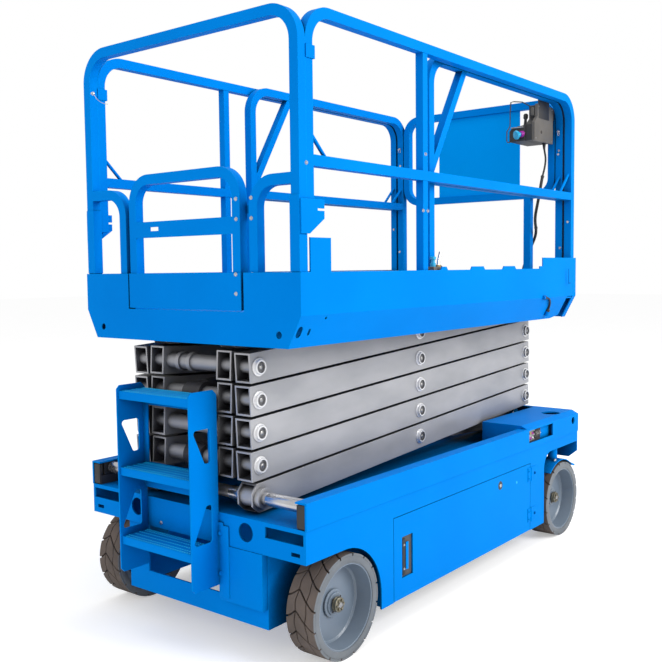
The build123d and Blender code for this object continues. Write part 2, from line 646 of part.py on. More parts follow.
def outer_arm(k):
    """Right and left outer tubes with their bushes; the lowest pair is joined by the slider rod."""
    rear = (PIN_REAR, level_z(k - 1))
    front = (PIN_FRONT, level_z(k))
    mid = (PIN_MID, (front[1] + rear[1]) / 2)
    sides = []
    for side in (-1, 1):
        y0, y1 = sorted((side * OUTER_IN, side * OUTER_OUT))
        arm = arm_tube(rear, front, y0, y1, k == 1, k == LEVELS)
        for x, z in (rear, mid, front):
            arm += rod_y(x, z, BUSH_R, side * BUSH_IN, side * BUSH_OUT)
        for x, z in (mid, front) if k == 1 else (rear, mid, front):
            arm -= rod_y(x, z, PIN_R + RUN_GAP, side * (BUSH_IN - 30), side * (BUSH_OUT + 20))
        sides.append(arm)
    if k > 1:
        return sides
    slider = rod_y(*rear, ROD_R, -BLOCK_IN + 4, BLOCK_IN - 4)
    parts = sides + [slider, rod_y(*rear, ROD_END_R, -BLOCK_OUT, BLOCK_OUT)]
    parts += [rod_y(*rear, 38, side * OUTER_IN, side * (OUTER_OUT + 22)) for side in (-1, 1)]
    return [fuse(*parts)]


def slide_block(side, z, y_in, y_out, half, height):
    """Block that slides in its track and turns on the end of its rod."""
    block = box(PIN_REAR - half, PIN_REAR + half, side * y_in, side * y_out, z - height / 2, z + height / 2)
    return block - rod_y(PIN_REAR, z, ROD_END_R + RUN_GAP, side * (y_in - 5), side * (y_out + 5))


# ---------------------------------------------------------------- platform
def toe_outline(side):
    """Side toe board in XZ; the right one has lugs, a rear corner plate and a step up at the front."""
    top = TOE_TOP
    if side > 0:
        return [(PL_REAR, SKIRT_FOLD), (PL_REAR, top), (PL_FRONT, top), (PL_FRONT, SKIRT_FOLD)]
    bumps = ((-187, -132), (60, 184), (354, 484))
    step_x = PL_FRONT - 434
    outline = [(PL_REAR, SKIRT_FOLD), (PL_REAR, top), (REAR_LEG - 11, top), (REAR_LEG - 11, top + 116),
               (REAR_LEG + 100, top + 116), (REAR_LEG + 100, top)]
    for x0, x1 in bumps:
        outline += [(x0, top), (x0 + 12, top + 14), (x1 - 12, top + 14), (x1, top)]
    outline += [(step_x, top), (step_x, top + 12), (step_x + 34, top + 12), (step_x + 34, top + 54),
                (PL_FRONT, top + 54), (PL_FRONT, SKIRT_FOLD)]
    return outline


def side_skirt(side):
    """Folded skirt under the toe board, with its holes and its cut front corner."""
    y = PL_Y
    low = y - SKIRT_LEAN
    fold = plate_yz([(side * y, SKIRT_FOLD), (side * low, SKIRT_LOW), (side * (low - SHEET), SKIRT_LOW),
                     (side * (y - SHEET), PL_DECK), (side * (y - SHEET), SKIRT_FOLD)], PL_REAR, SKIRT_END)
    corner = [(SKIRT_END - 87, SKIRT_LOW - 1), (SKIRT_END + 1, SKIRT_LOW + 16), (SKIRT_END + 1, SKIRT_LOW - 1)]
    reach = (side * (low - 20), side * (y + 5))
    fold -= plate_xz(corner, *reach)
    fold -= slot_y(PL_REAR + 24, SKIRT_LOW + 56, 40, 26, *reach)
    fold -= slot_y(PL_REAR + 76, SKIRT_LOW + 54, 24, 12, *reach)
    fold -= rod_y(PL_REAR + 140, SKIRT_FOLD - 12, 6, *reach)
    return fold


def upper_track(side):
    """Channel under the floor that the upper slide block runs in."""
    x0, x1 = PL_REAR + SHEET, PL_FRONT - 90
    web_in, web_out = UPPER_OUT + 2, UPPER_OUT + 10
    lip = UPPER_IN - 6
    high = TOP_PIN_Z + UPPER_Z / 2 + 2.5
    return fuse(box(x0, x1, side * web_in, side * web_out, TRACK_LOW - FLOOR_T, PL_DECK - FLOOR_T),
                box(x0, x1, side * lip, side * web_out, TRACK_LOW - FLOOR_T, TRACK_LOW),
                box(x0, x1, side * lip, side * web_out, high, high + 8.5))


def top_lug(side):
    """Lug under the floor with the pin that the top outer arm turns on."""
    lug_in = BUSH_OUT + 8
    y0, y1 = side * lug_in, side * (lug_in + 16)
    plate = box(PIN_FRONT - 50, PIN_FRONT + 35, y0, y1, TOP_PIN_Z - 35, PL_DECK - FLOOR_T)
    return plate + rod_y(PIN_FRONT, TOP_PIN_Z, PIN_R, side * BUSH_IN, y1)


def rear_plate():
    """Rear end plate with the entry notch and two small holes."""
    y, low = PL_Y, PL_Y - SKIRT_LEAN
    half = [(low, SKIRT_LOW), (y, SKIRT_FOLD), (y, TOE_TOP)]
    plate = plate_yz([(-a, z) for a, z in half] + half[::-1], PL_REAR, PL_REAR + SHEET)
    plate -= box(PL_REAR - 10, PL_REAR + 20, GATE_HINGE_Y - 1, GATE_Y[1] + 28, PL_DECK + 10, TOE_TOP + 5)
    for side in (-1, 1):
        plate -= rod_x(side * 475, TOP_PIN_Z + 6, 13, PL_REAR - 5, PL_REAR + 12)
    return plate


def platform_frame():
    """Floor, toe boards, folded skirts, tracks, lugs and the pads under the roll-out deck."""
    y = PL_Y
    inside = y - SHEET
    floor = box(PL_REAR + SHEET, PL_FRONT - SHEET, -inside, inside, PL_DECK - FLOOR_T, PL_DECK)
    parts = [floor, rear_plate()]
    for side in (-1, 1):
        parts.append(plate_xz(toe_outline(side), side * (y - SHEET), side * y))
        parts += [side_skirt(side), upper_track(side), top_lug(side)]
        parts.append(box(PL_FRONT - 96, PL_FRONT - SHEET, side * (EXT_SIDE - 85), side * (EXT_SIDE - 5),
                         PL_DECK, PL_DECK + EXT_LIFT - RUN_GAP))
    parts += [gland(*HOSE_ROUTE[:2], 9, GLAND), gland(*HOSE_ROUTE[:-3:-1], 12, 2 * GLAND)]
    return fuse(*parts)


# ---------------------------------------------------------------- guard rails
def side_rail():
    """Right main rail: hoop with its short rear leg, mid tube, mid post, brace, collar and latch plate."""
    y = -RAIL_Y
    out = y - TUBE / 2
    leg_end = TOE_TOP + 170
    rear, front = REAR_LEG, FRONT_LEG
    hoop = bent_tube([(rear, y, leg_end), (rear, y, TOP_Z), (front, y, TOP_Z), (front, y, PL_DECK)], BEND, TUBE)
    mid = straight_tube((rear, y, MID_Z), (front, y, MID_Z), TUBE)
    post = straight_tube((MID_POST, y, PL_DECK), (MID_POST, y, TOP_Z), TUBE - 4)
    half = TUBE / 2
    collar = box(rear - half, rear + half + 8, out - 4, out + TUBE + 4, TOP_Z - 165, TOP_Z - 121)
    brace = thin_brace((rear, y, MID_Z + 116), (rear + 120, y, MID_Z))
    low, high = TOE_TOP + 128, TOE_TOP + 244
    latch = plate_xz([(rear - 56, low), (rear - 12, low), (rear + 66, low + 52), (rear + 66, high), (rear - 56, high)],
                     out - SHEET, out)
    latch -= box(rear + 30, rear + 70, out - SHEET - 1, out + 1, high - 38, high - 30)
    return fuse(hoop, mid, post, collar, brace, latch)


def gate_hinge(z, on_gate):
    """Gate hinge half: ear and knuckle on the gate, or bracket, knuckles and pin on the leg."""
    x, y = GATE_HINGE_X, GATE_HINGE_Y
    back = REAR_RAIL_X + TUBE / 2
    plate = (back, back + SHEET)
    mid, tall = 14.0, 27.0
    if on_gate:
        ear = box(*plate, y, GATE_Y[0] + 12, z - mid, z + mid) + rod_z(x, y, 9, z - mid, z + mid)
        return ear - rod_z(x, y, 5 + RUN_GAP, z - tall, z + tall)
    parts = [rod_z(x, y, 5, z - tall, z + tall)]
    for z0, z1 in ((z - tall, z - mid - 1), (z + mid + 1, z + tall)):
        parts.append(box(*plate, GATE_Y[0] - LEG_GAP - 12, y, z0, z1))
        parts.append(rod_z(x, y, 9, z0, z1))
    return fuse(*parts)


def rear_rail():
    """Rear hoop with the two low hoops beside the gate and the fixed halves of the gate's hinges."""
    x = REAR_RAIL_X
    y = RAIL_Y
    top = TOP_Z + 2
    parts = [bent_tube([(x, -y, PL_DECK), (x, -y, top), (x, y, top), (x, y, PL_DECK)], BEND, TUBE)]
    half = TUBE / 2
    for side in (-1, 1):
        reach = (side * (y - half - 4), side * (y + half))
        parts.append(box(x - half - 3, x + half, *reach, TOE_TOP + 2, MID_Z - 118))
    for side, leg in ((-1, LEG_GAP - GATE_Y[0]), (1, GATE_Y[1] + LATCH_GAP)):
        route = [(x, side * leg, PL_DECK), (x, side * leg, HALF_HOOP_Z), (x, side * (y - 10), HALF_HOOP_Z)]
        parts.append(bent_tube(route, 90, TUBE))
    parts += [gate_hinge(z, on_gate=False) for z in GATE_HINGES]
    return fuse(*parts)


def gate():
    """Entry gate: hoop, latch plate, kick plate and its hinge ears."""
    x = REAR_RAIL_X
    low, high = GATE_Y
    hoop = bent_tube([(x, low, GATE_LOW), (x, low, GATE_TOP), (x, high, GATE_TOP), (x, high, GATE_LOW)], 90, TUBE)
    back = x - TUBE / 2
    plate = box(back, back + SHEET, low - 15, high + 15, PL_DECK + 284, PL_DECK + 345)
    plate -= box(back - 1, back + 7, high - 150, high - 100, PL_DECK + 309, PL_DECK + 324)
    kick = box(back - 7, back, low - 25, high + 20, GATE_LOW - 1, TOE_TOP)
    return fuse(hoop, plate, kick, *[gate_hinge(z, on_gate=True) for z in GATE_HINGES])


# ---------------------------------------------------------------- roll-out deck
def extension_deck():
    """Roll-out deck sheet with its inner toe boards, front sheet and rear slide shoes."""
    y = EXT_SIDE
    low = PL_DECK + EXT_LIFT
    deck = box(EXT_REAR, EXT_FRONT, -y, y, low, low + SHEET)
    parts = [deck, box(EXT_FRONT - SHEET, EXT_FRONT, -y, y, low, EXT_TOE)]
    for side in (-1, 1):
        parts.append(box(EXT_REAR, EXT_FRONT, side * (y - SHEET), side * y, low, EXT_TOE))
        reach = (side * (y - 75), side * (y - 5))
        parts.append(box(EXT_REAR + 20, EXT_REAR + 140, *reach, PL_DECK + RUN_GAP, low))
    parts.append(gland(*CONTROL_ROUTE[:-3:-1], 11, GLAND + 2))
    return fuse(*parts)


def extension_rail():
    """Right rail of the roll-out deck, nested inside the main rail, with its braces."""
    y = -EXT_Y
    rear = EXT_REAR + 25
    foot = PL_DECK + EXT_LIFT + SHEET
    hoop = bent_tube([(rear, y, foot), (rear, y, TOP_Z), (FRONT_LEG, y, TOP_Z), (FRONT_LEG, y, foot)], BEND, TUBE)
    mid = straight_tube((rear, y, MID_Z), (FRONT_LEG, y, MID_Z), TUBE)
    brace = straight_tube((rear + 5, y, MID_Z + 38), (rear + 278, y, TOP_Z - 9), TUBE - 4)
    stay = thin_brace((FRONT_LEG, y, MID_Z + 116), (FRONT_LEG - 130, y, MID_Z))
    return fuse(hoop, mid, brace, stay)


def front_rail():
    """Closed front frame between the roll-out deck's legs, with its lower posts and side ties."""
    x = FRONT_LEG
    low, high = FRAME_Z
    y = FRAME_Y
    halves = [bent_tube([(x, 0, high), (x, s * y, high), (x, s * y, low), (x, 0, low)], FRAME_BEND, TUBE)
              for s in (-1, 1)]
    foot = PL_DECK + EXT_LIFT + SHEET
    posts = [straight_tube((x, s * POST_Y, foot), (x, s * POST_Y, low), TUBE) for s in (-1, 1)]
    ties = [box(x - 10, x + 10, s * (y + 10), s * (EXT_Y - TUBE / 2), z - 10, z + 10)
            for s in (-1, 1) for z in (low + 120, high - 120)]
    return fuse(*halves, *posts, *ties)


def front_panel():
    """Sheet that fills the middle of the front frame."""
    x = FRONT_LEG
    return box(x - 4, x + 2, -267, 240, FRAME_Z[0] + TUBE / 2, FRAME_Z[1] - TUBE / 2)


def control_box():
    """Platform control box: case with a sloped console, hung over the extension's right top rail."""
    y_out = -EXT_Y + TUBE / 2
    y_in = y_out + 150
    low = TOP_Z - 211
    mid = PL_FRONT - 241
    case = [(mid, low), (mid, low + 90), (mid + 35, low + 130), (mid + 35, low + 190), (mid + 175, low + 190),
            (mid + 175, low)]
    console = [(mid - 115, low), (mid - 115, low + 62), (mid, low + 88), (mid, low)]
    body = plate_xz(case, y_out + 4, y_in) + plate_xz(console, y_out + 14, y_in - 10)
    hook_x = (mid + 60, mid + 140)
    rail_top = TOP_Z + TUBE / 2
    strap = box(*hook_x, y_out, y_out + 4, low + 60, rail_top + 4)
    over = box(*hook_x, y_out - TUBE - 4, y_out + 4, rail_top, rail_top + 4)
    lip = box(*hook_x, y_out - TUBE - 4, y_out - TUBE, rail_top - 20, rail_top + 4)
    return fuse(body, strap, over, lip, gland(*CONTROL_ROUTE[:2], 11, GLAND + 2))


# ---------------------------------------------------------------- cords
def cord(points, size):
    """Round cord along its route, its corners rounded to five diameters."""
    first, second = (Vector(*p) for p in points[:2])
    path = FilletPolyline(*points, radius=5 * size)
    return sweep(Plane(origin=first, z_dir=second - first) * Circle(size / 2), path=path)


# ---------------------------------------------------------------- lift cylinders
def cylinder_pair(lower):
    """Barrel and rod of one lift cylinder; lower is the level of the inner arm that carries the barrel."""
    tail = Vector(PIN_REAR, 0, level_z(lower))
    eye_x, eye_z = ram_eye(lower + 2)
    reach = Vector(eye_x, 0, eye_z) - tail
    run = reach.length
    angle = degrees(atan2(reach.Z, reach.X))
    place = Pos(tail.X, 0, tail.Z) * Rot(0, -angle, 0)
    mouth = run - 390
    eye = rod_y(0, 0, BARREL_R + 1, -45, 45) - rod_y(0, 0, CROSS_R + RUN_GAP, -50, 50)
    tube = rod_x(0, 0, BARREL_R, 36, mouth) - rod_x(0, 0, BORE_R, 55, mouth + 10)
    ram = rod_x(0, 0, RAM_R, 62, run - 20)
    head = rod_y(run, 0, 38, -EYE_OUT, EYE_OUT) - rod_y(run, 0, 18, -EYE_OUT - 5, EYE_OUT + 5)
    return place * fuse(eye, tube), place * fuse(ram, head)


# ---------------------------------------------------------------- export
def write_chassis():
    right_frame = side_frame()
    write("side_frame_right", right_frame)
    write("side_frame_left", mirrored(right_frame))
    right_cover = front_cover()
    write("front_covers", right_cover, mirrored(right_cover))
    write("chassis_frame", chassis_frame())
    write("ladder", ladder())
    write("tie_rod", tie_rod())
    for name, piece in (("rear_axles", rear_axle), ("track_webs", track_web),
                        ("track_caps", track_cap), ("wear_strips", wear_strip)):
        write(name, piece(-1), piece(1))
    right_door, right_tray = door(), tray()
    write("door_right", right_door)
    write("door_left", mirrored(right_door))
    write("tray_right", right_tray)
    write("tray_left", mirrored(right_tray))
    door_long = DOOR_FRONT - DOOR_REAR
    write("battery_pack", tray_load(-1, door_long - 220, DOOR_TOP - 37))
    write("hydraulic_unit", tray_load(1, door_long - 300, DOOR_TOP - 57))
    for name, side in (("right", -1), ("left", 1)):
        write(f"knuckle_{name}", knuckle(side))
        for end, x in (("rear", X_REAR), ("front", X_FRONT)):
            write(f"tyre_{end}_{name}", tyre(x, side))
            write(f"rim_{end}_{name}", rim(x, side))


def write_stack():
    for k in range(1, LEVELS + 1):
        write(f"inner_arm_{k}", inner_arm(k))
        write(f"outer_arm_{k}", *outer_arm(k))
    for name, lower in (("lower", 1), ("upper", 3)):
        barrel, rod = cylinder_pair(lower)
        write(f"barrel_{name}", barrel)
        write(f"rod_{name}", rod)
    lower_block = (PIVOT_Z, BLOCK_IN, BLOCK_OUT, BLOCK_HALF, BLOCK_Z)
    upper_block = (TOP_PIN_Z, UPPER_IN, UPPER_OUT, UPPER_HALF, UPPER_Z)
    for name, sizes in (("slide_blocks_lower", lower_block), ("slide_blocks_upper", upper_block)):
        write(name, slide_block(-1, *sizes), slide_block(1, *sizes))


def write_platform():
    write("platform_frame", platform_frame())
    rail, inner = side_rail(), extension_rail()
    write("rail_right", rail)
    write("rail_left", mirrored(rail))
    write("rail_rear", rear_rail())
    write("gate", gate())
    write("extension_deck", extension_deck())
    write("extension_rail_right", inner)
    write("extension_rail_left", mirrored(inner))
    write("front_rail", front_rail())
    write("front_panel", front_panel())
    write("control_box", control_box())
    write("control_cord", cord(CONTROL_ROUTE, CONTROL_CORD))
    write("skirt_hose", cord(HOSE_ROUTE, SKIRT_HOSE))


write_chassis()
write_stack()
write_platform()
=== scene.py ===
"""Looks of the slab scissor lift: materials, fittings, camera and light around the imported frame.

Metres, in the row frame: +Z up, +X towards the steered wheels, +Y left.
"""
from math import cos, floor, pi, radians, sin

import bmesh
import bpy
from mathutils import Matrix, Vector


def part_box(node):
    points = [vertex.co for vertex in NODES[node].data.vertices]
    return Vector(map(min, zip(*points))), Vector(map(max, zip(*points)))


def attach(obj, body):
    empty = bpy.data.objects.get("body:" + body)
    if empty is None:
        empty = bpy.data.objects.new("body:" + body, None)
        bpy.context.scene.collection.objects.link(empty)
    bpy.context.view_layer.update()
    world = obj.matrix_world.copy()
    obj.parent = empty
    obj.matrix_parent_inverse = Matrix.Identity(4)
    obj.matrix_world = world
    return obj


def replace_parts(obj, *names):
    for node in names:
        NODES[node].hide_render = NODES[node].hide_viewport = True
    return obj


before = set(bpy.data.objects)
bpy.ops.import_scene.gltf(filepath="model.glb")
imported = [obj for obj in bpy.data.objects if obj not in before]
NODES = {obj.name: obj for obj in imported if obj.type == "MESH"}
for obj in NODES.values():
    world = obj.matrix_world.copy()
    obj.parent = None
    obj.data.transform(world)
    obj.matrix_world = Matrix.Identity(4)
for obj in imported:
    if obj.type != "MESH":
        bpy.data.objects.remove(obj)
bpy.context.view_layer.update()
SIDES = ((-1, "right"), (1, "left"))


# ------------------------------ camera, light and floor
CAMERA_AT = (-3.296, -2.461, 1.397)
CAMERA_TURN = (38.394, -4.019, -0.638)      # yaw, pitch and roll in degrees
CAMERA_LENS = 47.93
SENSOR = 36
FLOOR_REACH = 40
FLOOR_GLOW = 0.38                           # only in what the camera sees directly
SKY_SEEN = 1.0
SKY_LIGHT = 0.86
LIGHTS = (
    # name, place, point it looks at, size, power
    ("key", (1.5, -6.5, 4.5), (0, 0, 1.1), 4.0, 430),
    ("fill", (-6.5, -0.5, 3.2), (0, 0, 1.1), 4.0, 95),
    ("top", (0, 0, 7.0), (0, 0, 1.0), 5.0, 80),
)


def add_camera():
    """Camera at the viewing angle of the reference: low behind the right rear wheel."""
    yaw, pitch, roll = (radians(angle) for angle in CAMERA_TURN)
    ahead = Vector((cos(pitch) * cos(yaw), cos(pitch) * sin(yaw), sin(pitch)))
    right = Vector((sin(yaw), -cos(yaw), 0))
    up = right.cross(ahead)
    side = cos(roll) * right + sin(roll) * up
    top = cos(roll) * up - sin(roll) * right
    data = bpy.data.cameras.new("camera")
    data.sensor_width = SENSOR
    data.lens = CAMERA_LENS
    camera = bpy.data.objects.new("camera", data)
    turn = Matrix((side, top, -ahead)).transposed().to_4x4()
    camera.matrix_world = Matrix.Translation(CAMERA_AT) @ turn
    bpy.context.scene.collection.objects.link(camera)
    bpy.context.scene.camera = camera


def add_area_light(name, place, aim, size, power):
    """Square soft light that looks at a point."""
    data = bpy.data.lights.new(name, "AREA")
    data.size = size
    data.energy = power
    light = bpy.data.objects.new(name, data)
    light.location = place
    light.rotation_euler = (Vector(aim) - Vector(place)).to_track_quat("-Z", "Y").to_euler()
    bpy.context.scene.collection.objects.link(light)


def floor_material():
    """White floor that reads as clean paper to the camera, with soft shadows only near the wheels."""
    material = noise_material("floor_white", (0.88, 0.88, 0.88), (0.86, 0.86, 0.86), 0.9, scale=3, shine=0.0)
    nodes, links = material.node_tree.nodes, material.node_tree.links
    shader = nodes["Principled BSDF"]
    shader.inputs["Emission Color"].default_value = (1, 1, 1, 1)
    ray = nodes.new("ShaderNodeLightPath")
    glow = nodes.new("ShaderNodeMath")
    glow.operation = "MULTIPLY"
    glow.inputs[1].default_value = FLOOR_GLOW
    links.new(ray.outputs["Is Camera Ray"], glow.inputs[0])
    links.new(glow.outputs["Value"], shader.inputs["Emission Strength"])
    return material


def add_floor():
    """Flat white floor that isn't part of the object."""
    mesh = bpy.data.meshes.new("floor")
    corners = [(x * FLOOR_REACH, y * FLOOR_REACH, 0) for x, y in ((-1, -1), (1, -1), (1, 1), (-1, 1))]
    mesh.from_pydata(corners, [], [(0, 1, 2, 3)])
    ground = bpy.data.objects.new("floor", mesh)
    bpy.context.scene.collection.objects.link(ground)
    mesh.materials.append(floor_material())


def add_world():
    """Even surroundings: white where the camera sees them, a little dimmer as light."""
    world = bpy.data.worlds.new("studio")
    world.use_nodes = True
    nodes, links = world.node_tree.nodes, world.node_tree.links
    sky = nodes["Background"]
    sky.inputs["Color"].default_value = (1, 1, 1, 1)
    sky.inputs["Strength"].default_value = SKY_SEEN
    dim = nodes.new("ShaderNodeBackground")
    dim.inputs["Strength"].default_value = SKY_LIGHT
    ray = nodes.new("ShaderNodeLightPath")
    mix = nodes.new("ShaderNodeMixShader")
    links.new(ray.outputs["Is Camera Ray"], mix.inputs["Fac"])
    links.new(dim.outputs["Background"], mix.inputs[1])
    links.new(sky.outputs["Background"], mix.inputs[2])
    links.new(mix.outputs["Shader"], nodes["World Output"].inputs["Surface"])
    bpy.context.scene.world = world


def add_stage():
    """White floor, even surroundings and three soft lights."""
    add_floor()
    add_world()
    bpy.context.scene.view_settings.view_transform = "Standard"
    for name, place, aim, size, power in LIGHTS:
        add_area_light(name, place, aim, size, power)


# ------------------------------ materials
EDGE_RADIUS = 0.002
EDGE_SPAN = (0.86, 0.985)         # how square an edge reads before its painted highlight and wear lighten it
TONE_SPAN = (0.32, 0.68)
GLOSS_SPREAD = 0.07
COAT_ROUGHNESS = 0.18


def add_noise(nodes, links, coords, scale, detail=3.0, stretch=(1, 1, 1)):
    """Noise in object space, stretched where asked."""
    mapping = nodes.new("ShaderNodeMapping")
    mapping.inputs["Scale"].default_value = stretch
    links.new(coords.outputs["Object"], mapping.inputs["Vector"])
    noise = nodes.new("ShaderNodeTexNoise")
    noise.inputs["Scale"].default_value = scale
    noise.inputs["Detail"].default_value = detail
    links.new(mapping.outputs["Vector"], noise.inputs["Vector"])
    return noise


def add_ramp(nodes, links, source, low, high, first, last):
    """Colour ramp between two colours."""
    ramp = nodes.new("ShaderNodeValToRGB")
    ramp.color_ramp.elements[0].position = low
    ramp.color_ramp.elements[1].position = high
    ramp.color_ramp.elements[0].color = (*first, 1)
    ramp.color_ramp.elements[1].color = (*last, 1)
    links.new(source, ramp.inputs["Fac"])
    return ramp


def add_hollow_shade(nodes, links, colour, reach, dark, low, high):
    """Darkens a colour in hollows that are narrower than the reach; low and high bound the open share."""
    shade = nodes.new("ShaderNodeAmbientOcclusion")
    shade.samples = 6
    shade.inputs["Distance"].default_value = reach
    ramp = add_ramp(nodes, links, shade.outputs["AO"], low, high, dark, (1, 1, 1))
    mix = nodes.new("ShaderNodeMix")
    mix.data_type = "RGBA"
    mix.blend_type = "MULTIPLY"
    mix.inputs["Factor"].default_value = 1.0
    links.new(colour, mix.inputs["A"])
    links.new(ramp.outputs["Color"], mix.inputs["B"])
    return mix.outputs["Result"]


def add_edge_highlight_and_wear(nodes, links, colour, edge, relief):
    """Rounded normals, and a lighter tone along the edges that paints a highlight there and also stands for
    wear.
    """
    rounded = nodes.new("ShaderNodeBevel")
    rounded.samples = 4
    rounded.inputs["Radius"].default_value = EDGE_RADIUS
    geometry = nodes.new("ShaderNodeNewGeometry")
    flat = nodes.new("ShaderNodeVectorMath")
    flat.operation = "DOT_PRODUCT"
    links.new(rounded.outputs["Normal"], flat.inputs[0])
    links.new(geometry.outputs["Normal"], flat.inputs[1])
    links.new(rounded.outputs["Normal"], relief.inputs["Normal"])
    blend = add_ramp(nodes, links, flat.outputs["Value"], *EDGE_SPAN, (1, 1, 1), (0, 0, 0))
    mix = nodes.new("ShaderNodeMix")
    mix.data_type = "RGBA"
    links.new(blend.outputs["Color"], mix.inputs["Factor"])
    links.new(colour, mix.inputs["A"])
    mix.inputs["B"].default_value = (*edge, 1)
    return mix.outputs["Result"]


def noise_material(name, light, dark, rough, metal=0.0, scale=4.0, fine=90.0, bump=0.02, coat=0.0,
                   edge=None, stretch=(1, 1, 1), shine=0.5, tint=(1, 1, 1), hollow=None):
    """Procedural surface: slow tone change, fine grain, uneven gloss, and where asked a lighter edge tone (a
    painted highlight that also stands for wear) and painted shade in hollows.
    """
    material = bpy.data.materials.new(name)
    material.use_nodes = True
    nodes, links = material.node_tree.nodes, material.node_tree.links
    shader = nodes["Principled BSDF"]
    coords = nodes.new("ShaderNodeTexCoord")
    slow = add_noise(nodes, links, coords, scale, 4.0, stretch)
    colour = add_ramp(nodes, links, slow.outputs["Fac"], *TONE_SPAN, dark, light).outputs["Color"]
    grain = add_noise(nodes, links, coords, fine, 2.0, stretch)
    gloss = nodes.new("ShaderNodeMapRange")
    gloss.inputs["To Min"].default_value = max(rough - GLOSS_SPREAD, 0.02)
    gloss.inputs["To Max"].default_value = min(rough + GLOSS_SPREAD, 1.0)
    links.new(grain.outputs["Fac"], gloss.inputs["Value"])
    links.new(gloss.outputs["Result"], shader.inputs["Roughness"])
    relief = nodes.new("ShaderNodeBump")
    relief.inputs["Strength"].default_value = bump * 10
    relief.inputs["Distance"].default_value = 0.001
    links.new(grain.outputs["Fac"], relief.inputs["Height"])
    if edge is not None:
        colour = add_edge_highlight_and_wear(nodes, links, colour, edge, relief)
    if hollow is not None:
        colour = add_hollow_shade(nodes, links, colour, *hollow)
    links.new(colour, shader.inputs["Base Color"])
    links.new(relief.outputs["Normal"], shader.inputs["Normal"])
    shader.inputs["Specular Tint"].default_value = (*tint, 1)
    shader.inputs["Metallic"].default_value = metal
    shader.inputs["Specular IOR Level"].default_value = shine
    shader.inputs["Coat Weight"].default_value = coat
    shader.inputs["Coat Roughness"].default_value = COAT_ROUGHNESS
    return material


BLUE = dict(shine=0.012, tint=(0, 0.4, 1.0), scale=2.2, fine=260, bump=0.012)
